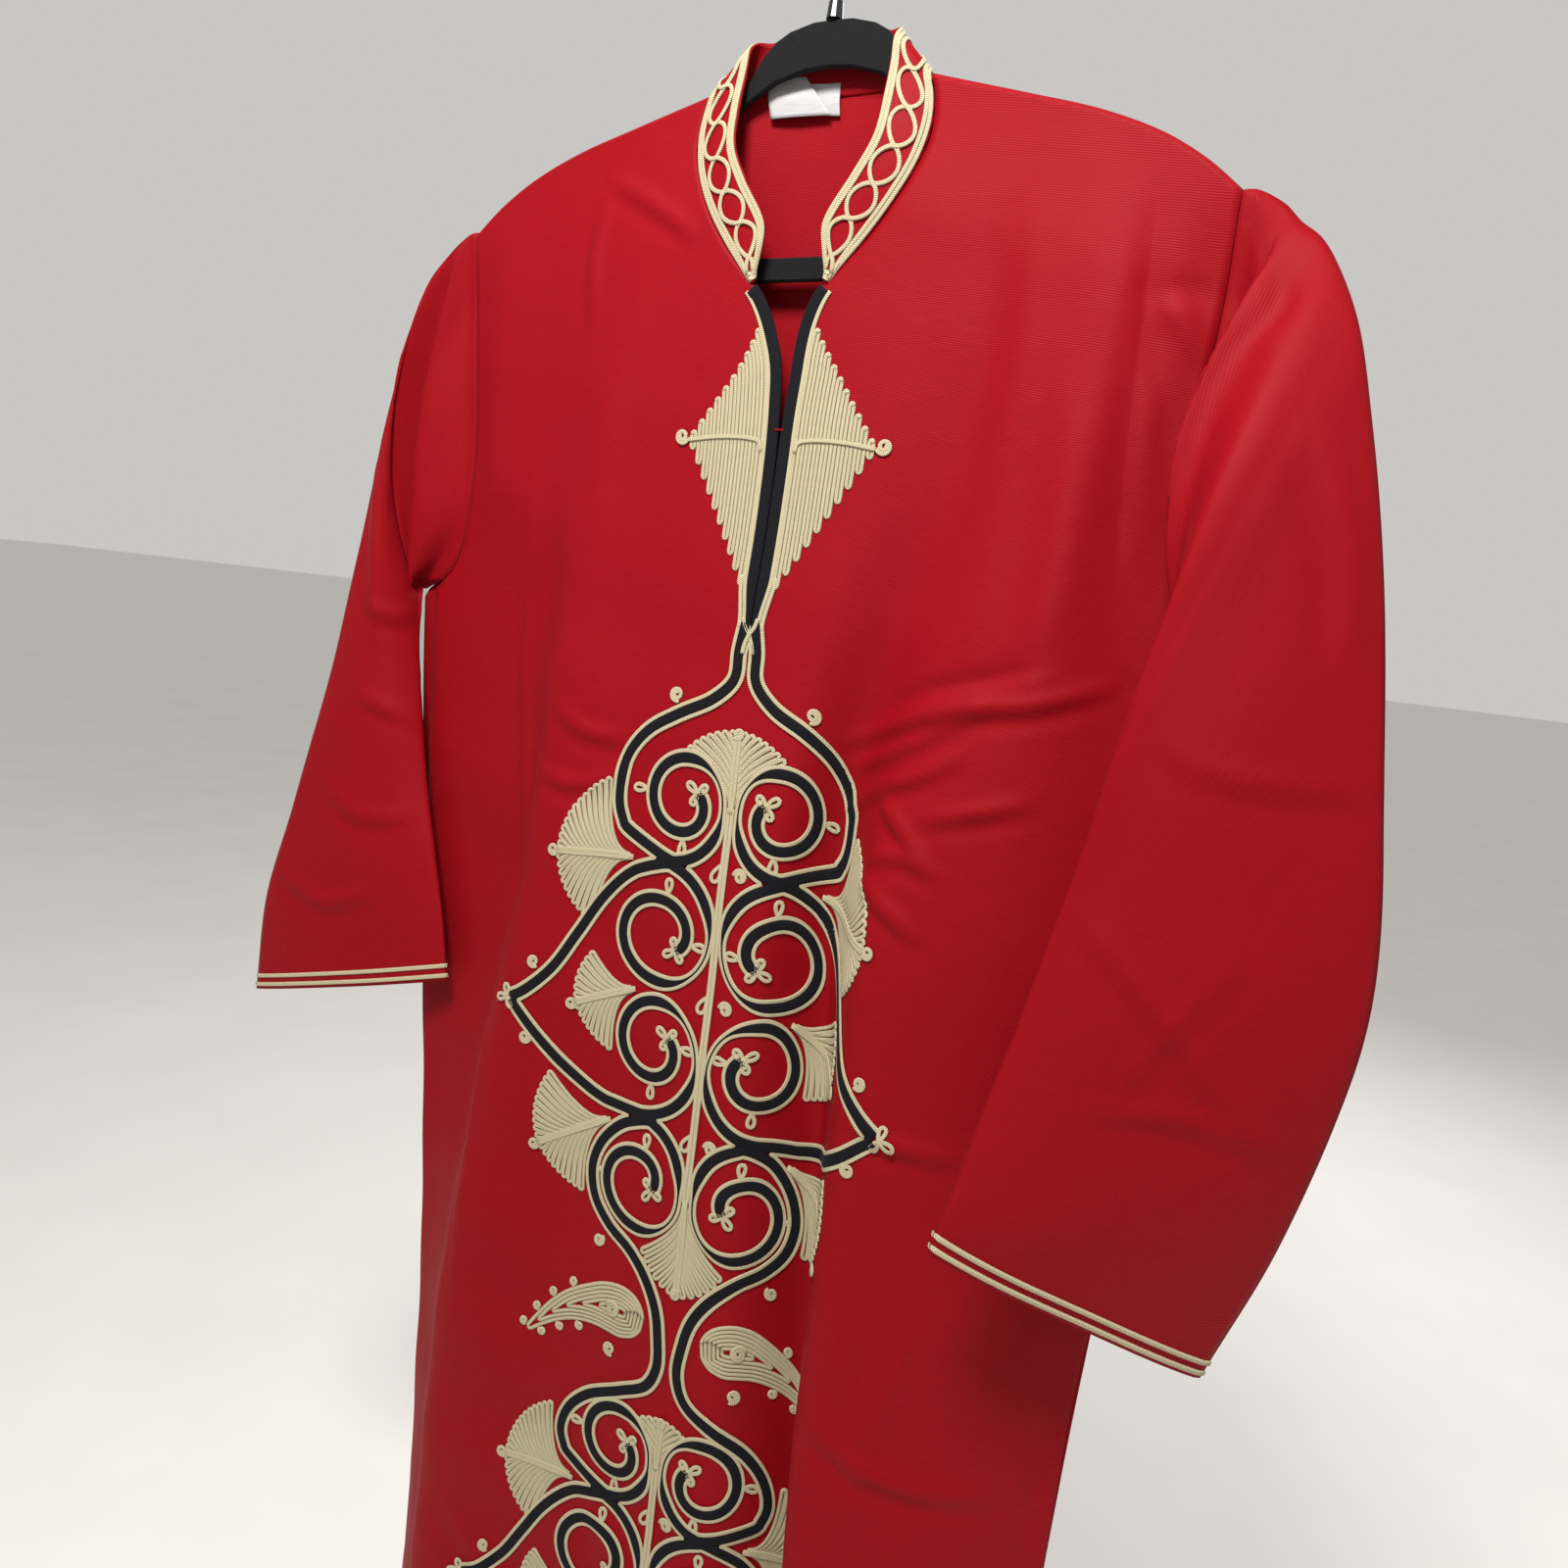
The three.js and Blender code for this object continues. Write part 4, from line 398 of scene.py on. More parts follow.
def over_shoulder(x, y, z):
    """Depth of the front cloth, laid over the hanger's arm near the shoulder."""
    half = abs(x - CENTRE_X)
    drop = shoulder_z(half, np.sign(x - CENTRE_X)) - z
    far = smooth(drop / 90)
    near = lerp(SEAM_SHIFT, np.maximum(np.maximum(-y, 0), 5.2), far) + 3.6 * smooth(drop / 3.2) * (1 - far)
    back = smooth((half - 236) / 30) * smooth(drop / 60)
    laid = lerp(-near, y, back)
    free = np.maximum(smooth((-280 - z) / 70), 1 - smooth((half - 57) / 16))
    return lerp(laid, y, free)


def front_point(u, z):
    table = FRONT.lines(z)
    x, y = pick(table[..., 1], table, np.asarray(u, float))[:, 2:].T
    return np.stack([x, over_shoulder(x, y, z), z], axis=1)


def back_point(x, z):
    table = BACK.lines(z)
    y = pick(table[..., 2], table, np.asarray(x, float))[:, 3]
    half = abs(x - CENTRE_X)
    in_neck = half < NECK_HALF
    dip = BACK_NECK_DEPTH * np.maximum(1 - (half / NECK_HALF) ** 2, 0) ** 0.6
    top = np.where(in_neck, np.maximum(SEAM_SHIFT, dip), SEAM_SHIFT)
    drop = np.where(in_neck, UNDER_BACK_NECK, shoulder_z(half, np.sign(x - CENTRE_X))) - z
    far = smooth(drop / 90)
    step = 3.6 * smooth(drop / 3.2) * (1 - far) * smooth((half - 56) / 14)
    return np.stack([x, lerp(top, np.maximum(y, 5.2), far) + step, z], axis=1)


def crease_rise(creases, a, b):
    """How far the listed creases lift the cloth at flat places (a, b)."""
    total = np.zeros(np.shape(a))
    for points, width, rise in creases:
        path = smooth_path(points, 6.0)
        (a_low, b_low), (a_high, b_high) = path.min(axis=0) - 3 * width, path.max(axis=0) + 3 * width
        near = (a > a_low) & (a < a_high) & (b > b_low) & (b < b_high)
        pa, pb = a[near], b[near]
        best, along, side = np.full(pa.shape, 1e9), np.zeros(pa.shape), np.ones(pa.shape)
        for k in range(len(path) - 1):
            p, d = path[k], path[k + 1] - path[k]
            t = np.clip(((pa - p[0]) * d[0] + (pb - p[1]) * d[1]) / (d @ d), 0, 1)
            miss = np.hypot(pa - p[0] - t * d[0], pb - p[1] - t * d[1])
            closer = miss < best
            best = np.where(closer, miss, best)
            along = np.where(closer, (k + t) / (len(path) - 1), along)
            side = np.where(closer, np.sign(d[0] * (pb - p[1]) - d[1] * (pa - p[0])), side)
        trough = np.exp(-(((side * best + TROUGH_OFFSET * width) / width) ** 2))
        crest = np.exp(-((best / width) ** 2)) - TROUGH_SHARE * trough
        ends = np.sin(math.pi * np.clip(along * 0.94 + 0.03, 0, 1)) ** 0.7
        total[near] += CREASE_GAIN * rise * crest * ends
    return total


def waver(a, b, seed, size):
    """Slow uneven swell of hanging cloth."""
    rng = np.random.default_rng(seed)
    total = np.zeros(np.shape(a))
    for k in range(7):
        wave = rng.uniform(90, 240)
        angle = rng.uniform(-0.5, 0.5) + (math.pi / 2 if k % 3 == 0 else 0)
        across = a * math.cos(angle) + b * math.sin(angle)
        total += np.sin(across * 2 * math.pi / wave + rng.uniform(0, 6.28))
    return size * total / 7


class Skin:
    """A smooth surface over two rising flat coordinates, for laying pieces on."""

    def __init__(self, a, b, points, outward):
        self.a, self.b, self.points = np.asarray(a, float), np.asarray(b, float), points
        n = unit(np.cross(np.gradient(points, axis=0), np.gradient(points, axis=1)))
        mid = n[len(a) // 2, len(b) // 2]
        self.normals = n if mid @ np.asarray(outward, float) > 0 else -n

    def look(self, a, b):
        a, b = np.asarray(a, float), np.asarray(b, float)
        i = np.clip(np.searchsorted(self.a, a) - 1, 0, len(self.a) - 2)
        j = np.clip(np.searchsorted(self.b, b) - 1, 0, len(self.b) - 2)
        s = ((a - self.a[i]) / (self.a[i + 1] - self.a[i]))[:, None]
        t = ((b - self.b[j]) / (self.b[j + 1] - self.b[j]))[:, None]

        def mix(g):
            return lerp(lerp(g[i, j], g[i + 1, j], s), lerp(g[i, j + 1], g[i + 1, j + 1], s), t)
        return mix(self.points), unit(mix(self.normals))


def front_skin():
    z = np.arange(HEM_Z - 6, -24, 3.0)
    u = np.arange(-420, 470, 3.0)
    table = FRONT.lines(z)
    rows = []
    for k, h in enumerate(z):
        x, y = (np.interp(u, table[k, :, 1], table[k, :, c]) for c in (2, 3))
        level = np.full(len(u), h)
        rows.append(np.stack([x, over_shoulder(x, y, level), level], axis=1))
    base = Skin(z, u, np.array(rows), (0, -1, 0))
    rise = front_rise(*np.meshgrid(z, u, indexing="ij")[::-1])
    return base, Skin(z, u, base.points + base.normals * rise[..., None], (0, -1, 0))


def front_rise(u, z):
    return crease_rise(FRONT_CREASES, u, z) + waver(u, z, 3, 2.2) * smooth((-150 - z) / 150)


def sag_at(u):
    out = np.zeros(np.shape(u))
    for side, (start, over, drop) in SAG.items():
        out += np.where(np.sign(u) == side, drop * smooth((abs(u) - start) / over), 0)
    return out


# Meshes.

def mesh_piece(name, verts, faces, uvs, material, indexes=None):
    """A named mesh with one UV place a vertex; points are millimetres from the hanger's neck top."""
    mesh = bpy.data.meshes.new(name)
    points = (np.asarray(verts, float) - (0, 0, HOOK_RISE)) * MM
    mesh.from_pydata(points.tolist(), [], [list(map(int, f)) for f in faces])
    layer = mesh.uv_layers.new(name="flat")
    corner = np.zeros(len(mesh.loops), int)
    mesh.loops.foreach_get("vertex_index", corner)
    layer.data.foreach_set("uv", (np.asarray(uvs, float)[corner] * MM).ravel())
    for m in material if isinstance(material, (list, tuple)) else [material]:
        mesh.materials.append(m)
    if indexes is not None:
        mesh.polygons.foreach_set("material_index", indexes)
    mesh.validate()
    piece = bpy.data.objects.new(name, mesh)
    bpy.context.scene.collection.objects.link(piece)
    return piece


def tidy(piece, merge=0.02, thickness=0.0):
    """Merges doubles, points the faces out and gives a cloth piece its wall."""
    made = bmesh.new()
    made.from_mesh(piece.data)
    if merge:
        bmesh.ops.remove_doubles(made, verts=made.verts, dist=merge * MM)
    bmesh.ops.recalc_face_normals(made, faces=made.faces)
    made.to_mesh(piece.data)
    made.free()
    piece.data.polygons.foreach_set("use_smooth", [True] * len(piece.data.polygons))
    piece.data.update()
    if thickness:
        bpy.ops.object.select_all(action="DESELECT")
        bpy.context.view_layer.objects.active = piece
        piece.select_set(True)
        wall = piece.modifiers.new("wall", "SOLIDIFY")
        wall.thickness = thickness * MM
        wall.offset = 0.0
        wall.use_even_offset = False
        bpy.ops.object.modifier_apply(modifier=wall.name)
        piece.select_set(False)
    return piece


def grid_faces(rows, columns, wrap=False):
    i = np.arange(columns if wrap else columns - 1)
    j = np.arange(rows - 1)[:, None]
    a, b = j * columns + i, j * columns + (i + 1) % columns
    return np.stack([a, b, b + columns, a + columns], axis=-1).reshape(-1, 4)


def flat_area(piece):
    """Area of the piece in its flat coordinates, in square metres."""
    total = 0.0
    uv = piece.data.uv_layers["flat"].data
    for face in piece.data.polygons:
        p = [uv[k].uv for k in face.loop_indices]
        total += abs(sum(a.x * b.y - b.x * a.y for a, b in zip(p, p[1:] + p[:1]))) / 2
    return total


class Strands:
    """Cords and tapes swept along surfaces, gathered into one mesh."""

    def __init__(self):
        self.verts, self.faces, self.uvs, self.marks, self.count = [], [], [], [], 0

    def sweep(self, points, normals, profile, scale=None, closed=False, mark=0, lift=0.0):
        points, normals, profile = np.asarray(points), np.asarray(normals), np.asarray(profile, float)
        n, m = len(points), len(profile)
        if closed:
            d = unit(np.roll(points, -1, axis=0) - np.roll(points, 1, axis=0))
        else:
            d = unit(np.gradient(points, axis=0))
        side = unit(np.cross(normals, d))
        scale = np.ones(n) if scale is None else np.asarray(scale)
        across = profile[None, :, 0] * scale[:, None]
        verts = (points[:, None] + side[:, None] * across[..., None]
                 + normals[:, None] * (profile[None, :, 1, None] + lift))
        length = run_along(points)
        v = np.linspace(0, 1, m)
        uv = np.stack(np.broadcast_arrays(length[:, None], v[None] * 1000), axis=-1)
        k = np.arange(n if closed else n - 1)[:, None]
        c = np.arange(m)
        a, b = k * m + c, k * m + (c + 1) % m
        up = ((k + 1) % n) * m
        quads = np.stack([a, b, up + (c + 1) % m, up + c], axis=-1).reshape(-1, 4) + self.count
        self.faces.extend(quads.tolist())
        added = len(quads)
        if not closed:
            self.faces.append((np.arange(m)[::-1] + self.count).tolist())
            self.faces.append((np.arange(m) + (n - 1) * m + self.count).tolist())
            added += 2
        self.marks.extend([mark] * added)
        self.verts.append(verts.reshape(-1, 3))
        self.uvs.append(uv.reshape(-1, 2))
        self.count += n * m

    def build(self, name, materials):
        verts, uvs = np.concatenate(self.verts), np.concatenate(self.uvs)
        return tidy(mesh_piece(name, verts, self.faces, uvs, materials, self.marks), merge=0)


# Cord profiles: across and height. A soutache cord has two ribs with a groove between.
CORD = np.array(((-1.5, 0.05), (-1.3, 0.85), (-0.75, 1.2), (0, 0.72), (0.75, 1.2), (1.3, 0.85), (1.5, 0.05)))
LOW_CORD = np.array(((-1.5, 0.05), (-0.85, 1.15), (0, 0.68), (0.85, 1.15), (1.5, 0.05)))
TAPE = np.array(((-1, 0.05), (-0.93, 1.3), (-0.7, 1.75), (-0.35, 1.6), (0, 1.85), (0.35, 1.6), (0.7, 1.75),
                 (0.93, 1.3), (1, 0.05)))


# Materials.

def feed(tree, socket, value):
    """Sets a socket to a value, or links it to another node's output."""
    if isinstance(value, bpy.types.NodeSocket):
        tree.links.new(value, socket)
    else:
        socket.default_value = value


def add(tree, kind, inputs=(), **settings):
    """A node with its settings and its inputs by name or number; returns its outputs."""
    node = tree.nodes.new(kind)
    for name, value in settings.items():
        setattr(node, name, value)
    for key, value in dict(inputs).items():
        feed(tree, node.inputs[key], value)
    return node.outputs


def maths(tree, operation, *values):
    return add(tree, "ShaderNodeMath", enumerate(values), operation=operation)[0]


def noise(tree, vector, scale, detail=2.0, roughness=0.5):
    inputs = {"Vector": vector, "Scale": scale, "Detail": detail, "Roughness": roughness}
    return add(tree, "ShaderNodeTexNoise", inputs)["Fac"]


def waves(tree, place, pitch):
    """Sine waves of one pitch along a length."""
    turns = maths(tree, "DIVIDE", place, pitch)
    return maths(tree, "SINE", maths(tree, "MULTIPLY", turns, 2 * math.pi))


def ribbed_cloth(tree, given, out):
    """Fine ribs of a twill cloth with slubs, from flat coordinates in metres."""
    place = add(tree, "ShaderNodeSeparateXYZ", {0: given["Vector"]})
    bend = maths(tree, "MULTIPLY", noise(tree, given["Vector"], 6.0, 3.0), 0.004)
    slant = maths(tree, "MULTIPLY", place["X"], 0.12)
    rib = waves(tree, maths(tree, "ADD", maths(tree, "ADD", place["Y"], bend), slant), given["Pitch"])
    stretched = add(tree, "ShaderNodeMapping", {"Vector": given["Vector"], "Scale": (60, 900, 60)})
    slub = noise(tree, stretched[0], 1.0, 3.0)
    broken = maths(tree, "MULTIPLY", rib, maths(tree, "ADD", slub, 0.2))
    feed(tree, out["Height"], maths(tree, "MULTIPLY_ADD", broken, 0.5, 0.5))
    feed(tree, out["Slub"], slub)
    feed(tree, out["Cloud"], noise(tree, given["Vector"], 9.0, 4.0))


def plaited_cord(tree, given, out):
    """Slanting strands that meet along the middle of a cord, from length and place across."""
    place = add(tree, "ShaderNodeSeparateXYZ", {0: given["Vector"]})
    from_middle = maths(tree, "ABSOLUTE", maths(tree, "SUBTRACT", place["Y"], 0.5))
    slanted = maths(tree, "MULTIPLY", from_middle, 0.0028)
    strand = waves(tree, maths(tree, "ADD", place["X"], slanted), given["Pitch"])
    feed(tree, out["Height"], maths(tree, "MULTIPLY_ADD", strand, 0.5, 0.5))


def grouped(tree, fill, outputs, vector, pitch):
    """Outputs of a node group that is named after the function which fills it once."""
    group = bpy.data.node_groups.get(fill.__name__)
    if not group:
        group = bpy.data.node_groups.new(fill.__name__, "ShaderNodeTree")
        for label, kind in (("Vector", "NodeSocketVector"), ("Pitch", "NodeSocketFloat")):
            group.interface.new_socket(name=label, in_out="INPUT", socket_type=kind)
        for label in outputs:
            group.interface.new_socket(name=label, in_out="OUTPUT", socket_type="NodeSocketFloat")
        start, end = group.nodes.new("NodeGroupInput"), group.nodes.new("NodeGroupOutput")
        fill(group, start.outputs, end.inputs)
    return add(tree, "ShaderNodeGroup", {"Vector": vector, "Pitch": pitch}, node_tree=group)


def ribs(tree, vector, pitch):
    return grouped(tree, ribbed_cloth, ("Height", "Slub", "Cloud"), vector, pitch)


def tinted(tree, shader, factor, low, high, color, dark, light):
    """Base colour from dark to light shades of a colour as the factor goes from low to high."""
    ramp = add(tree, "ShaderNodeMapRange", {"Value": factor, "From Min": low, "From Max": high})
    shades = [(*(c * share for c in color[:3]), 1) for share in (dark, light)]
    mix = add(tree, "ShaderNodeMix", {0: ramp[0], 6: shades[0], 7: shades[1]}, data_type="RGBA")
    feed(tree, shader["Base Color"], mix[2])


def bumped(tree, shader, height, distance, strength, **under):
    """Relief on a shader, over another relief where one is given as Normal."""
    inputs = {"Height": height, "Distance": distance, "Strength": strength, **under}
    relief = add(tree, "ShaderNodeBump", inputs)[0]
    feed(tree, shader["Normal"], relief)
    return relief


def flat_vector(tree):
    return add(tree, "ShaderNodeUVMap", uv_map="flat")[0]


def object_noise(tree, scale, detail):
    return noise(tree, add(tree, "ShaderNodeTexCoord")["Object"], scale, detail)


def material(name, color, roughness, dress, sheen=0.0, tint=(1, 1, 1, 1), specular=0.2, metallic=0.0):
    """The named material, made once; dress(tree, shader inputs) adds its nodes."""
    made = bpy.data.materials.get(name)
    if made:
        return made
    made = bpy.data.materials.new(name)
    made.use_nodes = True
    made.diffuse_color = (*color[:3], 1)
    tree = made.node_tree
    shader = tree.nodes["Principled BSDF"].inputs
    values = {"Base Color": (*color[:3], 1), "Roughness": roughness, "Metallic": metallic,
              "Sheen Weight": sheen, "Sheen Roughness": 0.45, "Sheen Tint": tint,
              "Specular IOR Level": specular}
    for label, value in values.items():
        shader[label].default_value = value
    dress(tree, shader)
    return made


def cloth_material(props):
    def dress(tree, shader):
        uv = flat_vector(tree)
        rib = ribs(tree, uv, props.rib_pitch)
        # Base colour: the slubs' real yarn tone, plus painted shade in the ribs' troughs and painted light on
        # their crests.
        slub_tone_and_rib_shade = maths(tree, "ADD", maths(tree, "MULTIPLY", rib["Height"], 0.35),
                     maths(tree, "MULTIPLY", rib["Slub"], 0.65))
        tinted(tree, shader, slub_tone_and_rib_shade, 0.15, 0.85, props.cloth_color, 0.82, 1.14)
        feed(tree, shader["Roughness"], maths(tree, "MULTIPLY_ADD", rib["Cloud"], 0.18, 0.5))
        crumple = bumped(tree, shader, noise(tree, uv, 22.0, 3.0, 0.45), 0.0016, 0.5)
        bumped(tree, shader, rib["Height"], 0.00022, 0.55, Normal=crumple)
    return material("galabeya_cloth", props.cloth_color, 0.64, dress, 0.03, (1.0, 0.15, 0.2, 1), 0.09)


def cord_material(props):
    def dress(tree, shader):
        plait_relief_and_shade = grouped(tree, plaited_cord, ("Height",), flat_vector(tree), props.plait_pitch)
        # Base colour from the plait's height: painted shade in the grooves between strands and painted
        # highlight on the strands' crests.
        tinted(tree, shader, plait_relief_and_shade["Height"], 0.0, 0.75, props.cord_color, 0.62, 1.08)
        bumped(tree, shader, plait_relief_and_shade["Height"], 0.0005, 0.85)
    return material("galabeya_cord", props.cord_color, 0.5, dress, 0.1, (1.0, 0.93, 0.8, 1))


def velvet_material(props):
    def dress(tree, shader):
        nap = object_noise(tree, 1400.0, 2.0)
        tinted(tree, shader, nap, 0.3, 0.75, props.tape_color, 0.5, 1.8)
        bumped(tree, shader, nap, 0.0003, 0.6)
    return material("galabeya_velvet", props.tape_color, 0.9, dress, 0.03, (0.3, 0.3, 0.4, 1))


def flock_material(props):
    def dress(tree, shader):
        nap = object_noise(tree, 2200.0, 3.0)
        tinted(tree, shader, nap, 0.3, 0.7, props.flock_color, 0.6, 2.0)
        bumped(tree, shader, nap, 0.0004, 0.7)
    return material("galabeya_flock", props.flock_color, 0.9, dress, 0.06, (0.3, 0.3, 0.34, 1))


def steel_material(props):
    def dress(tree, shader):
        feed(tree, shader["Roughness"], maths(tree, "MULTIPLY_ADD", object_noise(tree, 160.0, 4.0), 0.3, 0.2))
    return material("galabeya_steel", props.hook_color, 0.35, dress, specular=0.5, metallic=1.0)


def label_material(props):
    def dress(tree, shader):
        weave = ribs(tree, flat_vector(tree), 0.0007)
        tinted(tree, shader, weave["Slub"], 0.2, 0.8, props.label_color, 0.8, 1.08)
        bumped(tree, shader, weave["Height"], 0.0001, 0.5)
    return material("galabeya_label", props.label_color, 0.5, dress, 0.2)


def floor_material(props):
    def dress(tree, shader):
        tinted(tree, shader, object_noise(tree, 4.0, 3.0), 0.2, 0.8, props.floor_color, 0.96, 1.02)
    return material("studio_floor", props.floor_color, 0.8, dress)


# Pieces.

# What later steps need of earlier ones: the finished pieces by name, and surfaces and edges by name.
PIECES, SKINS = {}, {}


def keep(piece, slot, *nodes):
    """Registers a finished piece on the one body, in place of its CAD nodes."""
    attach(piece, "root")
    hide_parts(*nodes)
    PIECES[piece.name] = piece
    return piece


def skins():
    """The store of surfaces, with the front's two made at the first call."""
    if not SKINS:
        SKINS["front_base"], SKINS["front"] = front_skin()
    return SKINS


def surface_area(piece):
    return sum(p.area for p in piece.data.polygons)


def sheet_of(name, points, flat, made, wall, slot, node, area_of=surface_area, wrap=False):
    """A sheet of cloth from a grid of points and their flat places; returns it and its flat area."""
    faces = grid_faces(*points.shape[:2], wrap)
    piece = mesh_piece(name, points.reshape(-1, 3), faces, flat.reshape(-1, 2), made)
    tidy(piece)
    area = area_of(piece)
    tidy(piece, merge=0, thickness=wall)
    return keep(piece, slot, node), area


def split_shares(shares, k):
    """The shares again with k steps between two of them."""
    shares = np.asarray(shares, float)
    return np.interp(np.arange((len(shares) - 1) * k + 1) / k, np.arange(len(shares)), shares)


def front_half(side):
    """Flat places (u, height) of one half of the front: rows down, columns from the centre line out."""
    last = 0 if side < 0 else FRONT.columns - 1
    p = np.linspace(FRONT_CENTRE, last, abs(last - FRONT_CENTRE) * FRONT_FINE + 1)
    share = (p - FRONT_CENTRE) / (p[-1] - FRONT_CENTRE)
    n = len(p)

    def across(f, z):
        inner, outer = slit_middle(z) + side * neck_half(z), side * armhole_half(z)
        table = FRONT.lines(z)
        first, last = (pick(table[..., 1], table, end)[:, 0] for end in (inner, outer))
        got = pick(table[..., 0], table, lerp(first, last, f))
        return np.where(f == 0, inner, np.where(f == 1, outer, got[:, 1])), got[:, 2]
    tops = shoulder_z(lerp(NECK_HALF, SHOULDER_HALF, share), side)
    for _ in range(6):
        tops = shoulder_z(abs(across(share, tops)[1] - CENTRE_X), side)
    tops[0] = NECK_Z
    rows = []
    for g in split_shares(UPPER, SPLIT):
        z = lerp(tops, lerp(SLIT_END_Z, UNDERARM_Z, share), g)
        rows.append(np.stack([across(share, z)[0], z], axis=1))
    edge = np.full(n, side * armhole_half(np.array([UNDERARM_Z]))[0])
    for k in range(1, FRONT_LOWER + 1):
        g = k / FRONT_LOWER * (0.72 + 0.28 * k / FRONT_LOWER)
        z = lerp(lerp(SLIT_END_Z, UNDERARM_Z, share), HEM_Z, g)
        table = FRONT.lines(z)
        outer = pick(table[..., 1], table, edge)[:, 0]
        q = lerp(lerp(FRONT_CENTRE, outer, share), p, smooth(g * 3))
        u = pick(table[..., 0], table, q)[:, 1]
        u[0] = 0
        rows.append(np.stack([u, z], axis=1))
    return np.array(rows)


def place_front(flat):
    """Points of the creased front for flat places."""
    u, z = flat[..., 0].ravel(), flat[..., 1].ravel()
    points = front_point(u, z)
    normals = skins()["front_base"].look(z, u)[1]
    return points + normals * front_rise(u, z)[:, None]


def build_front(props):
    verts, faces, uvs, count = [], [], [], 0
    for side in SIDES:
        flat = front_half(side)
        verts.append(place_front(flat))
        uvs.append(flat.reshape(-1, 2))
        faces.append(grid_faces(*flat.shape[:2]) + count)
        count += len(uvs[-1])
        SKINS[f"edge{side}"] = verts[-1].reshape(*flat.shape[:2], 3)
    u = np.concatenate(uvs)
    piece = mesh_piece("front_panel", np.concatenate(verts), np.concatenate(faces), u, cloth_material(props))
    tidy(piece)
    area = flat_area(piece)
    tidy(piece, merge=0, thickness=props.wall)
    keep(piece, "cloth", "front")
    SKINS["front_sheet"] = (piece, tuple(map(float, np.ptp(u, axis=0) * MM)), area)


def back_rows():
    f = np.linspace(-1, 1, 97)
    rows = []
    for g in split_shares(BACK_UPPER, BACK_FINE):
        half = SHOULDER_HALF * abs(f)
        top = np.where(half < NECK_HALF, UNDER_BACK_NECK, shoulder_z(half, np.sign(f)))
        z = lerp(top, UNDERARM_Z, g)
        rows.append(np.stack([CENTRE_X + f * armhole_half(z), z], axis=1))
    p = (f + 1) * BACK_CENTRE
    for k in range(1, BACK_LOWER + 1):
        z = np.full(len(f), lerp(UNDERARM_Z, HEM_Z, k / BACK_LOWER))
        table = BACK.lines(z)
        even = pick(table[..., 0], table, p)[:, 2]
        edge = np.where(f < 0, table[:, 0, 2], table[:, -1, 2])
        middle = table[:, BACK_CENTRE * FINE, 2]
        x = lerp(lerp(middle, edge, abs(f)), even, smooth(k / BACK_LOWER * 3))
        rows.append(np.stack([x, z], axis=1))
    return np.array(rows)


def build_back(props):
    flat = back_rows()
    x, z = flat[..., 0].ravel(), flat[..., 1].ravel()
    points = back_point(x, z).reshape(*flat.shape[:2], 3)
    n = unit(np.cross(np.gradient(points, axis=1), np.gradient(points, axis=0)))
    n *= np.sign(n[..., 1:2].mean())
    rise = crease_rise(BACK_CREASES, x, z) + waver(x, z, 8, 1.4) * smooth((-150 - z) / 150)
    points = points + n * rise.reshape(*flat.shape[:2], 1)
    SKINS["back_edge"] = points
    step = np.linalg.norm(np.diff(points, axis=1), axis=2)
    u = np.concatenate([np.zeros((len(points), 1)), np.cumsum(step, axis=1)], axis=1)
    u -= u[:, u.shape[1] // 2][:, None]
    uv = np.stack([u, flat[..., 1]], axis=-1)
    piece, area = sheet_of("back_panel", points, uv, cloth_material(props), props.wall, "cloth", "back",
                           flat_area)


def along_line(line, t):
    length = run_along(line)
    return np.stack([np.interp(np.asarray(t) * length[-1], length, line[:, k]) for k in range(3)], axis=1)


def armhole_ring(side, out):
    """The armhole's edge, front then back, moved outwards from the body by a length."""
    half = ARMHOLE_ROWS
    front_edge = SKINS[f"edge{side}"][:half + 1, -1]
    upper = (len(BACK_UPPER) - 1) * BACK_FINE + 1
    back_edge = SKINS["back_edge"][:upper, -1 if side > 0 else 0]
    ring = np.concatenate([front_edge[:half], along_line(back_edge, 1 - np.arange(half) / half)])
    i = np.arange(len(ring))
    under = np.clip(1 - abs(i - half) / SPLIT, 0, 1)
    low = smooth((abs(ring[:, 2]) - 320) / 50) * (1 - under)
    back = np.where(i > half, 1 + 1.7 * low, 1)
    across = lerp(back * (1 + 0.5 * low), 3.2, under)
    inwards = under * (back_edge[-1][1] - front_edge[half][1]) * 0.75 * np.where(i >= half, 1, 0)
    return ring + np.stack([side * out * across, -inwards, out * back * 1.2 * low], axis=1)


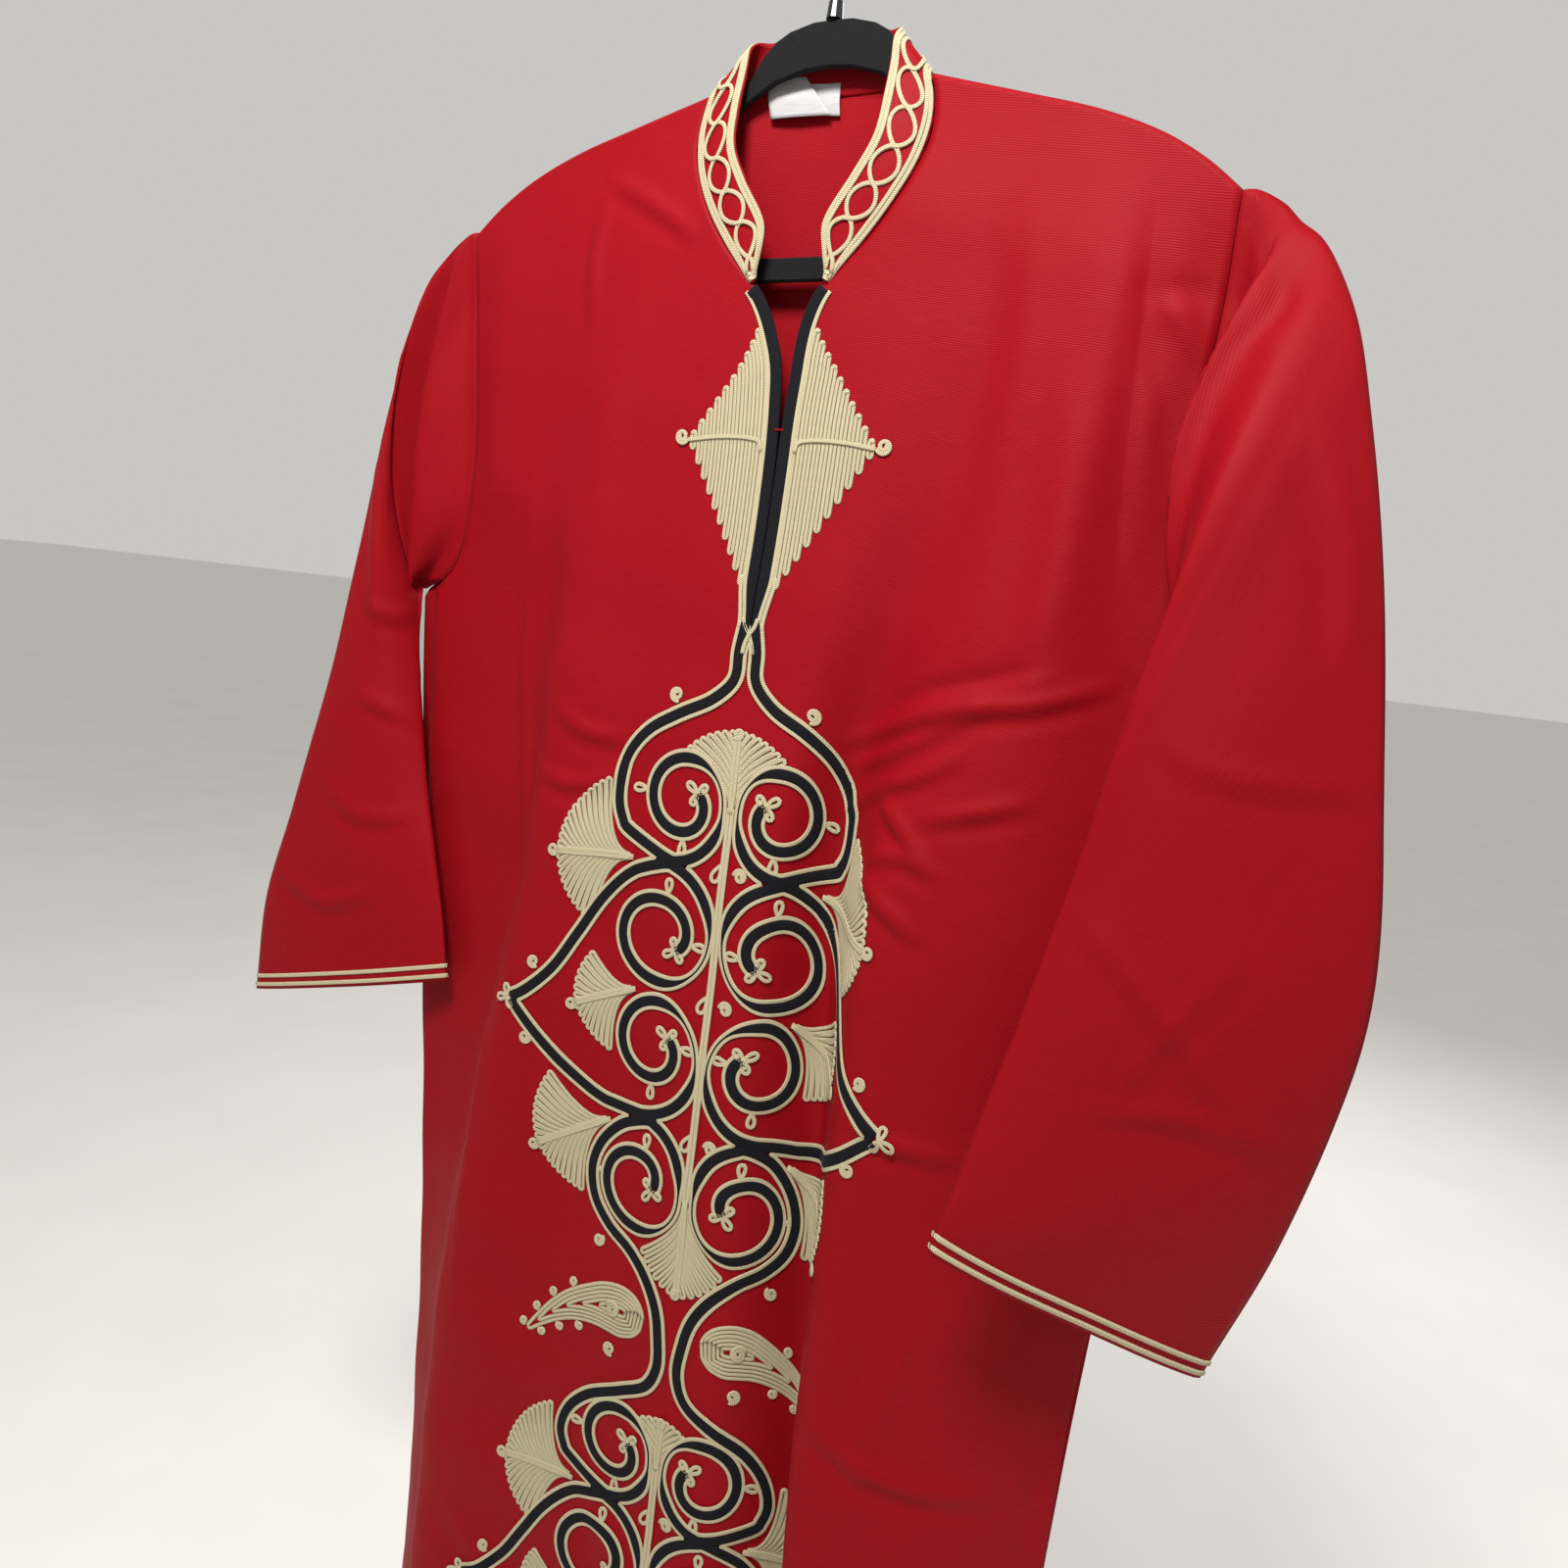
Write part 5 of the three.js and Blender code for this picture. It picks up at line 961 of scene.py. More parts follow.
def build_sleeve(props, side):
    half = ARMHOLE_ROWS
    i = np.arange(2 * half)
    q = np.where(i <= half, i / half, 2 - i / half)
    swell, bow = np.sin(math.pi * q) ** 0.75, np.sin(math.pi * q)
    rings = [armhole_ring(side, 0.4), armhole_ring(side, 7)]
    for row in SLEEVES[side]:
        r = np.array(row, float)
        base = r[None, :3] * (1 - q[:, None]) + r[None, 3:6] * q[:, None]
        front = np.stack([r[6] * bow, r[7] * swell, 0 * q], axis=1)
        back = np.stack([side * 2 * swell, r[8] * swell, 0 * q], axis=1)
        rings.append(base + np.where((i <= half)[:, None], front, back))
    last = len(rings) - 1
    free = np.linspace(2, last, (last - 2) * SLEEVE_FINE + 1)
    steps = np.concatenate([[0, 0.5], np.linspace(1, 2, 6)[:-1], free])
    points = curve_at(np.array(rings).transpose(1, 0, 2), steps).transpose(1, 0, 2)
    n = unit(np.cross(np.roll(points, -1, 1) - np.roll(points, 1, 1), np.gradient(points, axis=0)))
    outward = points - points.mean(axis=1, keepdims=True)
    n *= np.sign((n * outward).sum())
    facing = np.clip(-n[..., 1] * 2.5, -1, 1)
    a, b = points[..., 0], points[..., 2]
    rise = crease_rise(SLEEVE_CREASES[side], a, b)
    behind = crease_rise(SLEEVE_CREASES[side], a - side * 6, b + 46)
    lift = np.where(facing > 0, rise, behind) * abs(facing)
    lift += waver(a, b, 11 + side, 2.0) * smooth(steps / 3)[:, None]
    points = points + n * lift[..., None]
    SKINS[f"sleeve{side}"] = (points, n)
    around = np.linalg.norm(np.roll(points, -1, 1) - points, axis=2)
    down = np.linalg.norm(np.diff(points, axis=0), axis=2).mean(axis=1)
    v, u = -np.concatenate([[0], np.cumsum(down)]), np.concatenate([[0], np.cumsum(around.mean(axis=0))[:-1]])
    uv = np.stack(np.meshgrid(v, u, indexing="ij")[::-1], axis=-1)
    piece, area = sheet_of(f"sleeve_panel_{HAND[side]}", points, uv, cloth_material(props), props.wall,
                           "cloth", f"sleeve_{HAND[side]}", wrap=True)


# Ornament.

def on_front(u, v):
    u, v = np.asarray(u, float), np.asarray(v, float)
    return skins()["front"].look(SLIT_END_Z + v - sag_at(u), u)


def on_front_z(u, z):
    return skins()["front"].look(np.asarray(z, float), np.asarray(u, float))


def spiral_path(spiral, step=6.0):
    centre, start, sense, turned, radius = spiral
    turn = np.linspace(0, turned[-1], int(turned[-1] / step) + 1)
    angle = np.radians(start + sense * turn)
    r = rows_at(turned, radius, turn)
    half = rows_at(*THIN, turn)
    return np.stack([centre[0] + r * np.cos(angle), centre[1] + r * np.sin(angle), half], axis=1)


def tape_path(points):
    """A path of full width through flat points."""
    return smooth_path([(*p, TAPE_HALF) for p in points])


def scroll_paths():
    """The tapes of both medallions' halves as (u, v, half width); one of them runs on through the waist."""
    spirals = [spiral_path(s) for s in SPIRALS]
    paths = []
    down = np.array((0, REPEAT, 0))
    slit, to_tip, from_tip, waist, last = (tape_path(p) for p in (
        SLIT_TO_TOP, LOBE_TO_TIP, TIP_TO_LOBE, LOBE_TO_WAIST + WAIST_TO_LOBE, LOBE_TO_WAIST[:-2]))

    def joined(*parts):
        whole = np.concatenate([evenly(part, 5.0) for part in parts])
        keep_one = [0]
        for k in range(1, len(whole)):
            if np.hypot(*(whole[k] - whole[keep_one[-1]])[:2]) > 3.5:
                keep_one.append(k)
        return smooth_path(whole[keep_one], 2.2)
    paths.append(joined(slit[:-3], spirals[0]))
    paths.append(joined(spirals[3][::-1], waist[3:-3], spirals[0] + down))
    for dv in (0 * down, down):
        paths.append(joined(spirals[1][::-1], to_tip[4:]) + dv)
        paths.append(joined(from_tip[:-4], spirals[2]) + dv)
    paths.append(joined(spirals[3][::-1], last[3:]) + down)
    return paths


def mirror(path, side):
    out = np.array(path, float)
    out[:, 0] *= side
    return out


def hidden_by(points, paths, own, margin):
    """True where flat points lie inside the tape of another path."""
    hidden = np.zeros(len(points), bool)
    for k, path in enumerate(paths):
        if k == own:
            continue
        d = np.hypot(points[:, None, 0] - path[None, :, 0], points[:, None, 1] - path[None, :, 1])
        near = d.argmin(axis=1)
        hidden |= d[np.arange(len(points)), near] < path[near, 2] - margin
    return hidden


def runs(mask, least=3):
    out, start = [], None
    for k, value in enumerate([*mask, False]):
        if value and start is None:
            start = k
        if not value and start is not None:
            if k - start >= least:
                out.append(slice(start, k))
            start = None
    return out


def teardrop(length, width, n=18):
    t = np.linspace(0.03, 0.97, n) * 2 * math.pi
    across = width / 2 * np.sin(t) * np.sin(t / 2) ** 1.2 * 1.25
    return np.stack([length * (1 - np.cos(t)) / 2, across], axis=1)


def turned_at(shape, at, angle):
    c, s = math.cos(angle), math.sin(angle)
    x, y = shape[:, 0], shape[:, 1]
    return np.stack([at[0] + x * c - y * s, at[1] + x * s + y * c], axis=1)


def curl(centre, start, radius, hand, turns=1.7, n=30):
    t = np.linspace(0, 1, n)
    r = lerp(radius - 1.4, 1.1, t**0.9)
    a = start + hand * t * turns * 2 * math.pi
    return np.stack([centre[0] + r * np.cos(a), centre[1] + r * np.sin(a)], axis=1)


def lay(strands, flat, profile=CORD, place=on_front, lift=0.0, **options):
    """Sweeps a cord along flat places, lifted off the cloth's face."""
    strands.sweep(*place(flat[:, 0], flat[:, 1]), profile, lift=WALL_HALF + lift, **options)


def braid(strands, props, name, *nodes, more=(), slot="braid"):
    """One piece from the gathered cords, in place of its CAD nodes."""
    return keep(strands.build(name, [cord_material(props), *more]), slot, *nodes)


def build_scroll(props, side):
    strands = Strands()
    paths = [mirror(p, side) for p in scroll_paths()]
    for k, path in enumerate(paths):
        lay(strands, path, TAPE, scale=np.maximum(path[:, 2] - 2.4, 0.5), mark=1, lift=0.3)
        away = across_of(path)
        for hand in (-1, 1):
            edge = path[:, :2] + away * (hand * (path[:, 2:3] - 1.35))
            seen = ~hidden_by(edge, paths, k, 2.0)
            for part in runs(seen, 4):
                lay(strands, edge[part], lift=0.55)
    trefoils, loops = [], []
    for repeat in (0, 1):
        dv = repeat * REPEAT
        for spiral in SPIRALS:
            line = spiral_path(spiral)
            d = line[-1, :2] - line[-3, :2]
            trefoils.append((line[-1, 0], line[-1, 1] + dv, math.atan2(d[1], d[0])))
        trefoils.append((172, -292 + dv, math.radians(-20)))
        for which, turn in SPIRAL_LOOPS:
            centre, start, sense, turned, radius = SPIRALS[which]
            angle = math.radians(start + sense * turn)
            r = rows_at(turned, radius, [turn])[0] + 5.6
            loops.append((centre[0] + r * math.cos(angle), centre[1] + r * math.sin(angle) + dv, angle))
    for u, v, angle in trefoils:
        for turn, size in ((0, 10.5), (1.75, 9), (-1.75, 9)):
            shape = turned_at(teardrop(size, 4.8), (u, v), angle + turn)
            lay(strands, mirror(shape, side), lift=0.9)
    for u, v, angle in loops:
        lay(strands, mirror(turned_at(teardrop(10.5, 5.2), (u, v), angle), side), lift=0.3)
    centre_lines = np.concatenate([mirror(p, side)[:, :2] for p in paths])
    for repeat in (0, 1):
        for u, v, r in CURLS:
            at = np.array((u, v + repeat * REPEAT))
            near = centre_lines[np.hypot(*(centre_lines - at).T).argmin()]
            start = math.atan2(near[1] - at[1], near[0] - at[0])
            lay(strands, mirror(curl(at, start, r, 1), side), lift=0.4)
    nodes = [f"scroll_{part}_{HAND[side]}" for part in ("upper", "lower")]
    braid(strands, props, f"scroll_tape_{HAND[side]}", *nodes, more=[velvet_material(props)], slot="velvet")


def hairpin(start, end, bend, gap=1.5, n=11):
    """A cord that runs out to the end, round it and back, as one flat path."""
    start, end = np.asarray(start, float), np.asarray(end, float)
    control = start + np.asarray(bend, float)
    t = np.linspace(0, 1, n)[:, None]
    line = (1 - t) ** 2 * start + 2 * t * (1 - t) * control + t**2 * end
    across = across_of(line)
    wide = gap * (0.75 + 0.25 * t) + 0.25 * smooth((t - 0.7) / 0.3)
    last, d = across[-1], unit(line[-1] - line[-2])
    turn = np.linspace(0, math.pi, 7)[1:-1, None]
    round_end = line[-1] + (last * np.cos(turn) + d * np.sin(turn)) * wide[-1]
    return np.concatenate([line + across * wide, round_end, (line - across * wide)[::-1]])


def fan(strands, root, tip, spread, edge, shift=0.0, side=1, curl_end=True):
    """Packed corded barbs that leave a rib on both sides, and the rib's cords laid over them."""
    root, tip = np.asarray(root, float) + (0, shift), np.asarray(tip, float) + (0, shift)
    rib = tip - root
    length, aim = np.hypot(*rib), math.atan2(rib[1], rib[0])
    along = rib / length
    left = np.array((-along[1], along[0]))
    for hand, wide, share in ((-1, spread[0], edge[0]), (1, spread[1], edge[1])):
        reach = math.radians(wide) * length * (1 + share) / 2
        count = max(4, round(reach / 6.3))
        for k in range(count):
            t = (k + 0.8) / (count + 0.3)
            angle = aim + hand * math.radians(wide) * t
            r = length * lerp(1, share, t**1.4) - 2.6
            end = root + r * np.array((math.cos(angle), math.sin(angle)))
            leave = lerp(0.84, 0.03, t**0.85)
            start = root + along * length * leave + hand * 0.5 * left
            bend = along * np.hypot(*(end - start)) * 0.38
            lay(strands, mirror(hairpin(start, end, bend), side), LOW_CORD, lift=0.1 + 0.5 * (1 - t))
    for hand in (-1, 1):
        t = np.linspace(0, 1, 14)[:, None]
        offset = hand * 1.4 * left * np.minimum(1, 0.35 + 3 * t)
        lay(strands, mirror(root + rib * t + offset, side), lift=1.1)
    if curl_end:
        lay(strands, mirror(curl(tip + along * 3.0, aim + math.pi, 6.0, 1, 1.5), side), lift=0.8)
    else:
        lay(strands, mirror(curl(tip - along * 2.4, aim + 2.2, 5.2, 1, 1.5), side), lift=1.4)


def build_fans(props, side):
    for repeat in (0, 1):
        for name, root, tip, spread, edge in FANS:
            strands = Strands()
            fan(strands, root, tip, spread, edge, shift=repeat * REPEAT, side=side)
            which = f"{name}_{repeat + 1}_{HAND[side]}"
            braid(strands, props, f"fan_braid_{which}", f"fan_{which}")


def build_stems(props):
    for repeat in (0, 1):
        dv = repeat * REPEAT
        strands = Strands()
        fan(strands, (0, -128), (0, -88 if repeat else -71), (43, 46), (0.98, 0.98), shift=dv, curl_end=False)
        fan(strands, (0, -407), (0, -483), (34, 34), (0.8, 0.8), shift=dv, curl_end=False)
        v = np.arange(-124, -410, -2.5)
        for hand in (-1, 1):
            lay(strands, np.stack([np.full(len(v), hand * 1.5), v + dv], axis=1), lift=0.9)
        for u, at, r in STEM_CURLS:
            lay(strands, curl((u, at + dv), math.pi, r, -1), lift=0.4)
            lay(strands, turned_at(teardrop(13, 6.5), (-2.5, at + 5 + dv), math.radians(248)), lift=0.5)
        braid(strands, props, f"stem_braid_{repeat + 1}", f"stem_{repeat + 1}")


def build_paisley(props, side):
    strands = Strands()
    spine = smooth_path(PAISLEY, 1.5)
    away = across_of(spine)
    length = run_along(spine[:, :2])
    for level in range(6):
        inset = 1.5 + 3.1 * level
        inner = spine[:, 2] - inset
        ok = (inner > 0.6) & (length > inset * 0.9) & (length < length[-1] - inset * 2.2)
        if ok.sum() < 6:
            break
        line, across, w = spine[ok, :2], away[ok], inner[ok][:, None]
        loop = np.concatenate([line + across * w, (line - across * w)[::-1]])
        loop = evenly(np.concatenate([loop, loop[:1]]), 2.2)[:-1]
        lay(strands, mirror(loop, side), LOW_CORD, closed=True, lift=0.1)
    lay(strands, mirror(curl((52, -512.5), 0.4, 7.5, 1, 2.2, 44), side), LOW_CORD, lift=0.9)
    for share, hand, r in PAISLEY_CURLS:
        k = int(share * (len(spine) - 1))
        out = away[k] * hand
        centre = spine[k, :2] + out * (spine[k, 2] + r - 0.6)
        start = math.atan2(-out[1], -out[0])
        lay(strands, mirror(curl(centre, start, r, hand, 1.4, 22), side), lift=0.3)
    braid(strands, props, f"paisley_braid_{HAND[side]}", f"paisley_{HAND[side]}")


def beside(side, off, z):
    """Flat places at a distance from the leaning slit, on one side."""
    return np.stack([slit_middle(z) + side * off, z], axis=1)


def build_slit(props, side):
    """The velvet tape down one side of the slit, with its cords."""
    strands = Strands()

    def cord_down(start, end, count, off, near_end, fade):
        """A cord beside the slit whose distance goes from off to near_end where the slit ends."""
        z = np.linspace(start, end, count)
        far = lerp(off, near_end, smooth((NARROWING_Z - z) / fade))
        lay(strands, beside(side, neck_half(z) + far, z), place=on_front_z, lift=0.5)
    z = np.linspace(-166, -386, 96)
    inner = np.maximum(neck_half(z) - 0.9, 0.25)
    outer = neck_half(z) + lerp(7.6, 3.6, smooth((NARROWING_Z - z) / 34))
    middle = beside(side, (inner + outer) / 2, z)
    lay(strands, middle, TAPE, on_front_z, lift=0.2, scale=(outer - inner) / 2, mark=1)
    cord_down(-168, -383, 90, 8.9, 5.0, 31)
    cord_down(NARROWING_Z, -387, 18, 12.0, 8.0, 33)
    cross = smooth_path([(side * u, z) for u, z in SLIT_CROSSING], 1.5)
    lay(strands, cross, place=on_front_z, lift=1.7 if side > 0 else 1.0)
    if side > 0:
        level = np.full(7, BAR_TACK_Z)
        tack = np.stack([np.linspace(-3.6, 3.6, 7) + slit_middle(level), level], axis=1)
        lay(strands, tack, CORD * 0.5, on_front_z, lift=2.0, mark=2)
    braid(strands, props, f"slit_band_{HAND[side]}", f"slit_tape_{HAND[side]}",
          more=[velvet_material(props), cloth_material(props)], slot="velvet")


def build_diamond(props, side):
    """The half diamond of corded columns beside the slit's tape."""
    strands = Strands()
    for k in range(DIAMOND_COLUMNS):
        off = 3.6 + DIAMOND_PITCH * k
        t = (off - 1.5) / 55.5
        top, low = lerp(-190, -263, t), lerp(-361, -266, t)
        z = np.linspace(top - 1.5, low + 1.5, max(8, int((top - low) / 4)))
        u = neck_half(z) + TAPE_EDGE + off
        n = np.linspace(0, math.pi, 7)[1:-1]
        bow_u, bow_z = COLUMN_HALF * np.cos(n), 2.4 * np.sin(n)
        upper = np.stack([u[0] + bow_u[::-1], z[0] + bow_z], axis=1)
        lower = np.stack([u[-1] + bow_u, z[-1] - bow_z], axis=1)
        right, left = (np.stack([u + half, z], axis=1) for half in (COLUMN_HALF, -COLUMN_HALF))
        loop = np.concatenate([right, lower, left[::-1], upper])
        lay(strands, beside(side, *loop.T), LOW_CORD, on_front_z, lift=0.1, closed=True)
    start = neck_half([-262])[0] + TAPE_EDGE
    rib = smooth_path(((start + 2, -270), (start + 4, -264), (start + 12, -262), (44, -262), (69, -265)), 2.0)
    lay(strands, beside(side, *rib.T), place=on_front_z, lift=1.1)
    spiral = curl((74, -263), math.radians(200), 6.5, 1, 1.6)
    lay(strands, beside(side, *spiral.T), place=on_front_z, lift=0.6)
    braid(strands, props, f"diamond_braid_{HAND[side]}", f"diamond_{HAND[side]}")


def build_cuffs(props, side):
    """Two cords round a sleeve, each at its distance up from the cuff."""
    points, normals = (part[::-1] for part in SKINS[f"sleeve{side}"])
    runs_up = [run_along(points[:, c]) for c in range(points.shape[1])]
    for k, distance in enumerate((4.5, 12.5)):
        line, out = (np.array([[np.interp(distance, run, part[:, c, a]) for a in range(3)]
                               for c, run in enumerate(runs_up)]) for part in (points, normals))
        strands = Strands()
        strands.sweep(line, unit(out), CORD * (1.2, 1.0), closed=True, lift=WALL_HALF + 0.1)
        braid(strands, props, f"cuff_cord_{k + 1}_{HAND[side]}", f"cuff_braid_{k + 1}_{HAND[side]}")


# Collar.

def collar_rows():
    def half(side):
        rows = []
        for seam, wide, y, z in COLLAR_ROWS:
            p = front_point(side * neck_half([seam]), np.array([float(seam)]))[0]
            rows.append((p[0] - side * 0.9, p[1], p[2], CENTRE_X + side * wide, y, z))
        for wide, top, y, z in COLLAR_BACK:
            p = back_point(np.array([CENTRE_X + side * wide]), np.array([UNDER_BACK_NECK]))[0]
            seam = (0, -35.2) if wide == NECK_HALF else (p[1] - 0.9, -39.4)
            rows.append((CENTRE_X + side * (wide - 0.9), *seam, CENTRE_X + side * top, y, z))
        steps = np.linspace(0, len(rows) - 1, (len(rows) - 1) * 12 + 1)
        v = curve_at(np.array(rows), steps)
        t = np.linspace(0, 1, 13)
        taper = t[None] * lerp(0.16, 1, smooth(steps / 1.9))[:, None]
        grid = v[:, None, :3] * (1 - taper[..., None]) + v[:, None, 3:] * taper[..., None]
        behind = smooth((steps - 7) / 2)
        grid[..., 1] += np.sin(math.pi * t)[None] * 1.6 * (behind * 2 - 1)[:, None]
        return grid
    left, right = half(1), half(-1)
    return np.concatenate([left, right[::-1][1:]])


def build_collar(props):
    grid = collar_rows()
    s = run_along(grid[:, grid.shape[1] // 2])
    w = np.linspace(0, COLLAR_WIDE, grid.shape[1])
    skin = Skin(s, w, grid, (0, 1, 0))
    SKINS["collar"] = skin
    uv = np.stack(np.meshgrid(s, w, indexing="ij"), axis=-1)
    piece, area = sheet_of("collar_band", grid, uv, cloth_material(props), 1.6, "cloth", "collar")
    strands = Strands()
    total = s[-1]
    for inset in (2.5, 5.5):
        r = 3.0
        near, far, top = inset + r, total - inset - r, COLLAR_WIDE - inset - r
        corners = []
        for k, centre in enumerate(((far, top), (near, top), (near, near), (far, near))):
            a = np.radians(np.linspace(k * 90, k * 90 + 90, 6))
            corners.append(np.stack([centre[0] + r * np.cos(a), centre[1] + r * np.sin(a)], axis=1))
        loop = evenly(np.concatenate([*corners, corners[0][:1]]), 2.5)[:-1]
        lay(strands, loop, place=skin.look, closed=True, lift=0.3)
    crests = round(total / 52) * 2
    along = np.linspace(7, total - 7, int(total / 2.5))
    for phase in (0, 1):
        wave = np.cos(math.pi * (along - 4) / ((total - 8) / crests) + math.pi * phase)
        rounded = np.sign(wave) * abs(wave) ** 0.65
        flat = np.stack([along, COLLAR_WIDE / 2 + 9.2 * rounded], axis=1)
        lay(strands, flat, place=skin.look, lift=0.3 + 0.5 * phase)
    cords = braid(strands, props, "collar_cords", "collar_braid")


def build_labels(props):
    """Blank labels that hang from the inside of the collar's back."""
    collar = SKINS["collar"].points.reshape(-1, 3)
    back = collar[collar[:, 1] > 3]
    t = np.linspace(0, 1, 17)[:, None]
    for name, a, b, c, d, free in LABELS:
        upper, lower = (np.array(left) * (1 - t) + np.array(right) * t for left, right in ((a, b), (c, d)))
        held = [back[np.hypot(back[:, 0] - x, back[:, 2] - z).argmin(), 1] - 1.6 for x, z in upper]
        rows = []
        for j in np.linspace(0, 1, 13):
            xz = lerp(upper, lower, j)
            y = lerp(np.array(held), free, smooth(j * 1.5)) + 0.5 * np.sin(t[:, 0] * 5 + j * 3) * j
            rows.append(np.stack([xz[:, 0], y, xz[:, 1]], axis=1))
        grid = np.array(rows)
        piece, area = sheet_of(f"{name}_cloth", grid, grid[..., (0, 2)], label_material(props), 0.5,
                               "label", name)


def dress_hanger(props):
    """Gives the hanger's CAD nodes their materials."""
    steel = steel_material(props)
    for name, made in (("hanger", flock_material(props)), ("hook_socket", steel), ("hook", steel)):
        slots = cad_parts[name].data.materials
        slots.clear()
        slots.append(made)


# Stage.

def aim_camera(props):
    data = bpy.data.cameras.new("photo_camera")
    data.lens, data.sensor_width = props.lens, 36.0
    data.clip_start, data.clip_end = 0.05, FLOOR_HALF
    camera = bpy.data.objects.new("photo_camera", data)
    yaw, pitch, roll = (math.radians(a) for a in (props.yaw, props.pitch, props.roll))
    ahead = Vector((-math.sin(yaw) * math.cos(pitch), math.cos(yaw) * math.cos(pitch), -math.sin(pitch)))
    right = Vector((math.cos(yaw), math.sin(yaw), 0))
    up = right.cross(ahead)
    turned_right = right * math.cos(roll) + up * math.sin(roll)
    turned_up = up * math.cos(roll) - right * math.sin(roll)
    rows = [[turned_right[k], turned_up[k], -ahead[k], props.camera_place[k]] for k in range(3)]
    camera.matrix_world = Matrix([*rows, [0, 0, 0, 1]])
    bpy.context.scene.collection.objects.link(camera)
    bpy.context.scene.camera = camera


def area_light(name, place, target, size, power, color):
    data = bpy.data.lights.new(name, "AREA")
    data.shape, data.size, data.energy, data.color = "DISK", size, power, color
    lamp = bpy.data.objects.new(name, data)
    lamp.location = place
    lamp.rotation_euler = (Vector(target) - Vector(place)).to_track_quat("-Z", "Y").to_euler()
    bpy.context.scene.collection.objects.link(lamp)


def build_stage(props):
    mesh = bpy.data.meshes.new("studio_floor")
    made = bmesh.new()
    bmesh.ops.create_grid(made, x_segments=8, y_segments=8, size=FLOOR_HALF)
    made.to_mesh(mesh)
    made.free()
    floor = bpy.data.objects.new("studio_floor", mesh)
    floor.location = (0, 0, props.floor_height)
    mesh.materials.append(floor_material(props))
    bpy.context.scene.collection.objects.link(floor)
    area_light("key_light", (0.12, -1.0, 0.75), (0.05, 0, -0.35), 0.45, props.key_power, (1.0, 0.97, 0.93))
    area_light("fill_light", (2.2, -1.8, -0.2), (0, 0, -0.7), 2.2, props.fill_power, (0.95, 0.97, 1.0))
    area_light("back_light", (0.4, 2.6, 0.8), (0, 0, -0.6), 2.0, props.fill_power * 14, (1.0, 1.0, 1.0))
    world = bpy.data.worlds.new("studio_world")
    world.use_nodes = True
    shade = world.node_tree.nodes["Background"]
    shade.inputs["Color"].default_value = (*props.world_color, 1)
    shade.inputs["Strength"].default_value = props.world_power
    bpy.context.scene.world = world
    bpy.context.scene.view_settings.view_transform = "Standard"


# Properties.

def color_value(name, text, value):
    return bpy.props.FloatVectorProperty(name=name, description=text, default=value, subtype="COLOR",
                                         size=3, min=0, max=1)


def number_value(name, text, value, **more):
    return bpy.props.FloatProperty(name=name, description=text, default=value, **more)


class GalabeyaProperties(bpy.types.PropertyGroup):
    """Sizes and colours of the galabeya and its stage"""
    cloth_color: color_value("Cloth", "Colour of the crimson cloth", (0.235, 0.0012, 0.0052))
    cord_color: color_value("Cord", "Colour of the cream cord", (0.57, 0.50, 0.32))
    tape_color: color_value("Tape", "Colour of the velvet tape", (0.003, 0.0033, 0.0055))
    flock_color: color_value("Flock", "Colour of the hanger's flock", (0.004, 0.004, 0.0045))
    hook_color: color_value("Hook", "Colour of the hook's metal", (0.07, 0.07, 0.075))
    label_color: color_value("Label", "Colour of the neck labels", (0.40, 0.40, 0.41))
    floor_color: color_value("Floor", "Colour of the studio floor", (0.78, 0.765, 0.735))
    world_color: color_value("World", "Colour of the surrounding light", (0.97, 0.955, 0.92))
    wall: number_value("Wall", "Cloth thickness in millimetres", 1.2)
    rib_pitch: number_value("Rib pitch", "Distance between cloth ribs", 0.0014, unit="LENGTH",
                            precision=5)
    plait_pitch: number_value("Plait pitch", "Length of one strand in a cord", 0.0013, unit="LENGTH",
                              precision=5)
    lens: number_value("Lens", "Focal length in millimetres", 27.0)
    yaw: number_value("Yaw", "Camera yaw in degrees", 25.5)
    pitch: number_value("Pitch", "Camera pitch in degrees", 8.6)
    roll: number_value("Roll", "Camera roll in degrees", 6.6)
    camera_place: bpy.props.FloatVectorProperty(
        name="Camera place", description="Where the camera stands", default=(0.3733, -0.7267, -0.4306),
        subtype="TRANSLATION", size=3)
    floor_height: number_value("Floor height", "Height of the floor", -1.6, unit="LENGTH")
    key_power: number_value("Key power", "Key light in watts", 42.0)
    fill_power: number_value("Fill power", "Fill light in watts", 3.0)
    world_power: number_value("World power", "Strength of the surrounding light", 0.6)


# Operators.

class GALABEYA_OT_camera(bpy.types.Operator):
    """Camera at the photographed angle"""
    bl_idname = "galabeya.camera"
    bl_label = "Camera"

    def execute(self, context):
        aim_camera(context.scene.galabeya)
        return {"FINISHED"}


class GALABEYA_OT_body(bpy.types.Operator):
    """Front and back panels with their folds and creases"""
    bl_idname = "galabeya.body"
    bl_label = "Body panels"

    def execute(self, context):
        build_front(context.scene.galabeya)
        build_back(context.scene.galabeya)
        return {"FINISHED"}


class GALABEYA_OT_sleeves(bpy.types.Operator):
    """Both sleeves with the braid at their cuffs"""
    bl_idname = "galabeya.sleeves"
    bl_label = "Sleeves"

    def execute(self, context):
        for side in SIDES:
            build_sleeve(context.scene.galabeya, side)
            build_cuffs(context.scene.galabeya, side)
        return {"FINISHED"}


class GALABEYA_OT_collar(bpy.types.Operator):
    """Stand collar and its cords"""
    bl_idname = "galabeya.collar"
    bl_label = "Collar"

    def execute(self, context):
        build_collar(context.scene.galabeya)
        return {"FINISHED"}


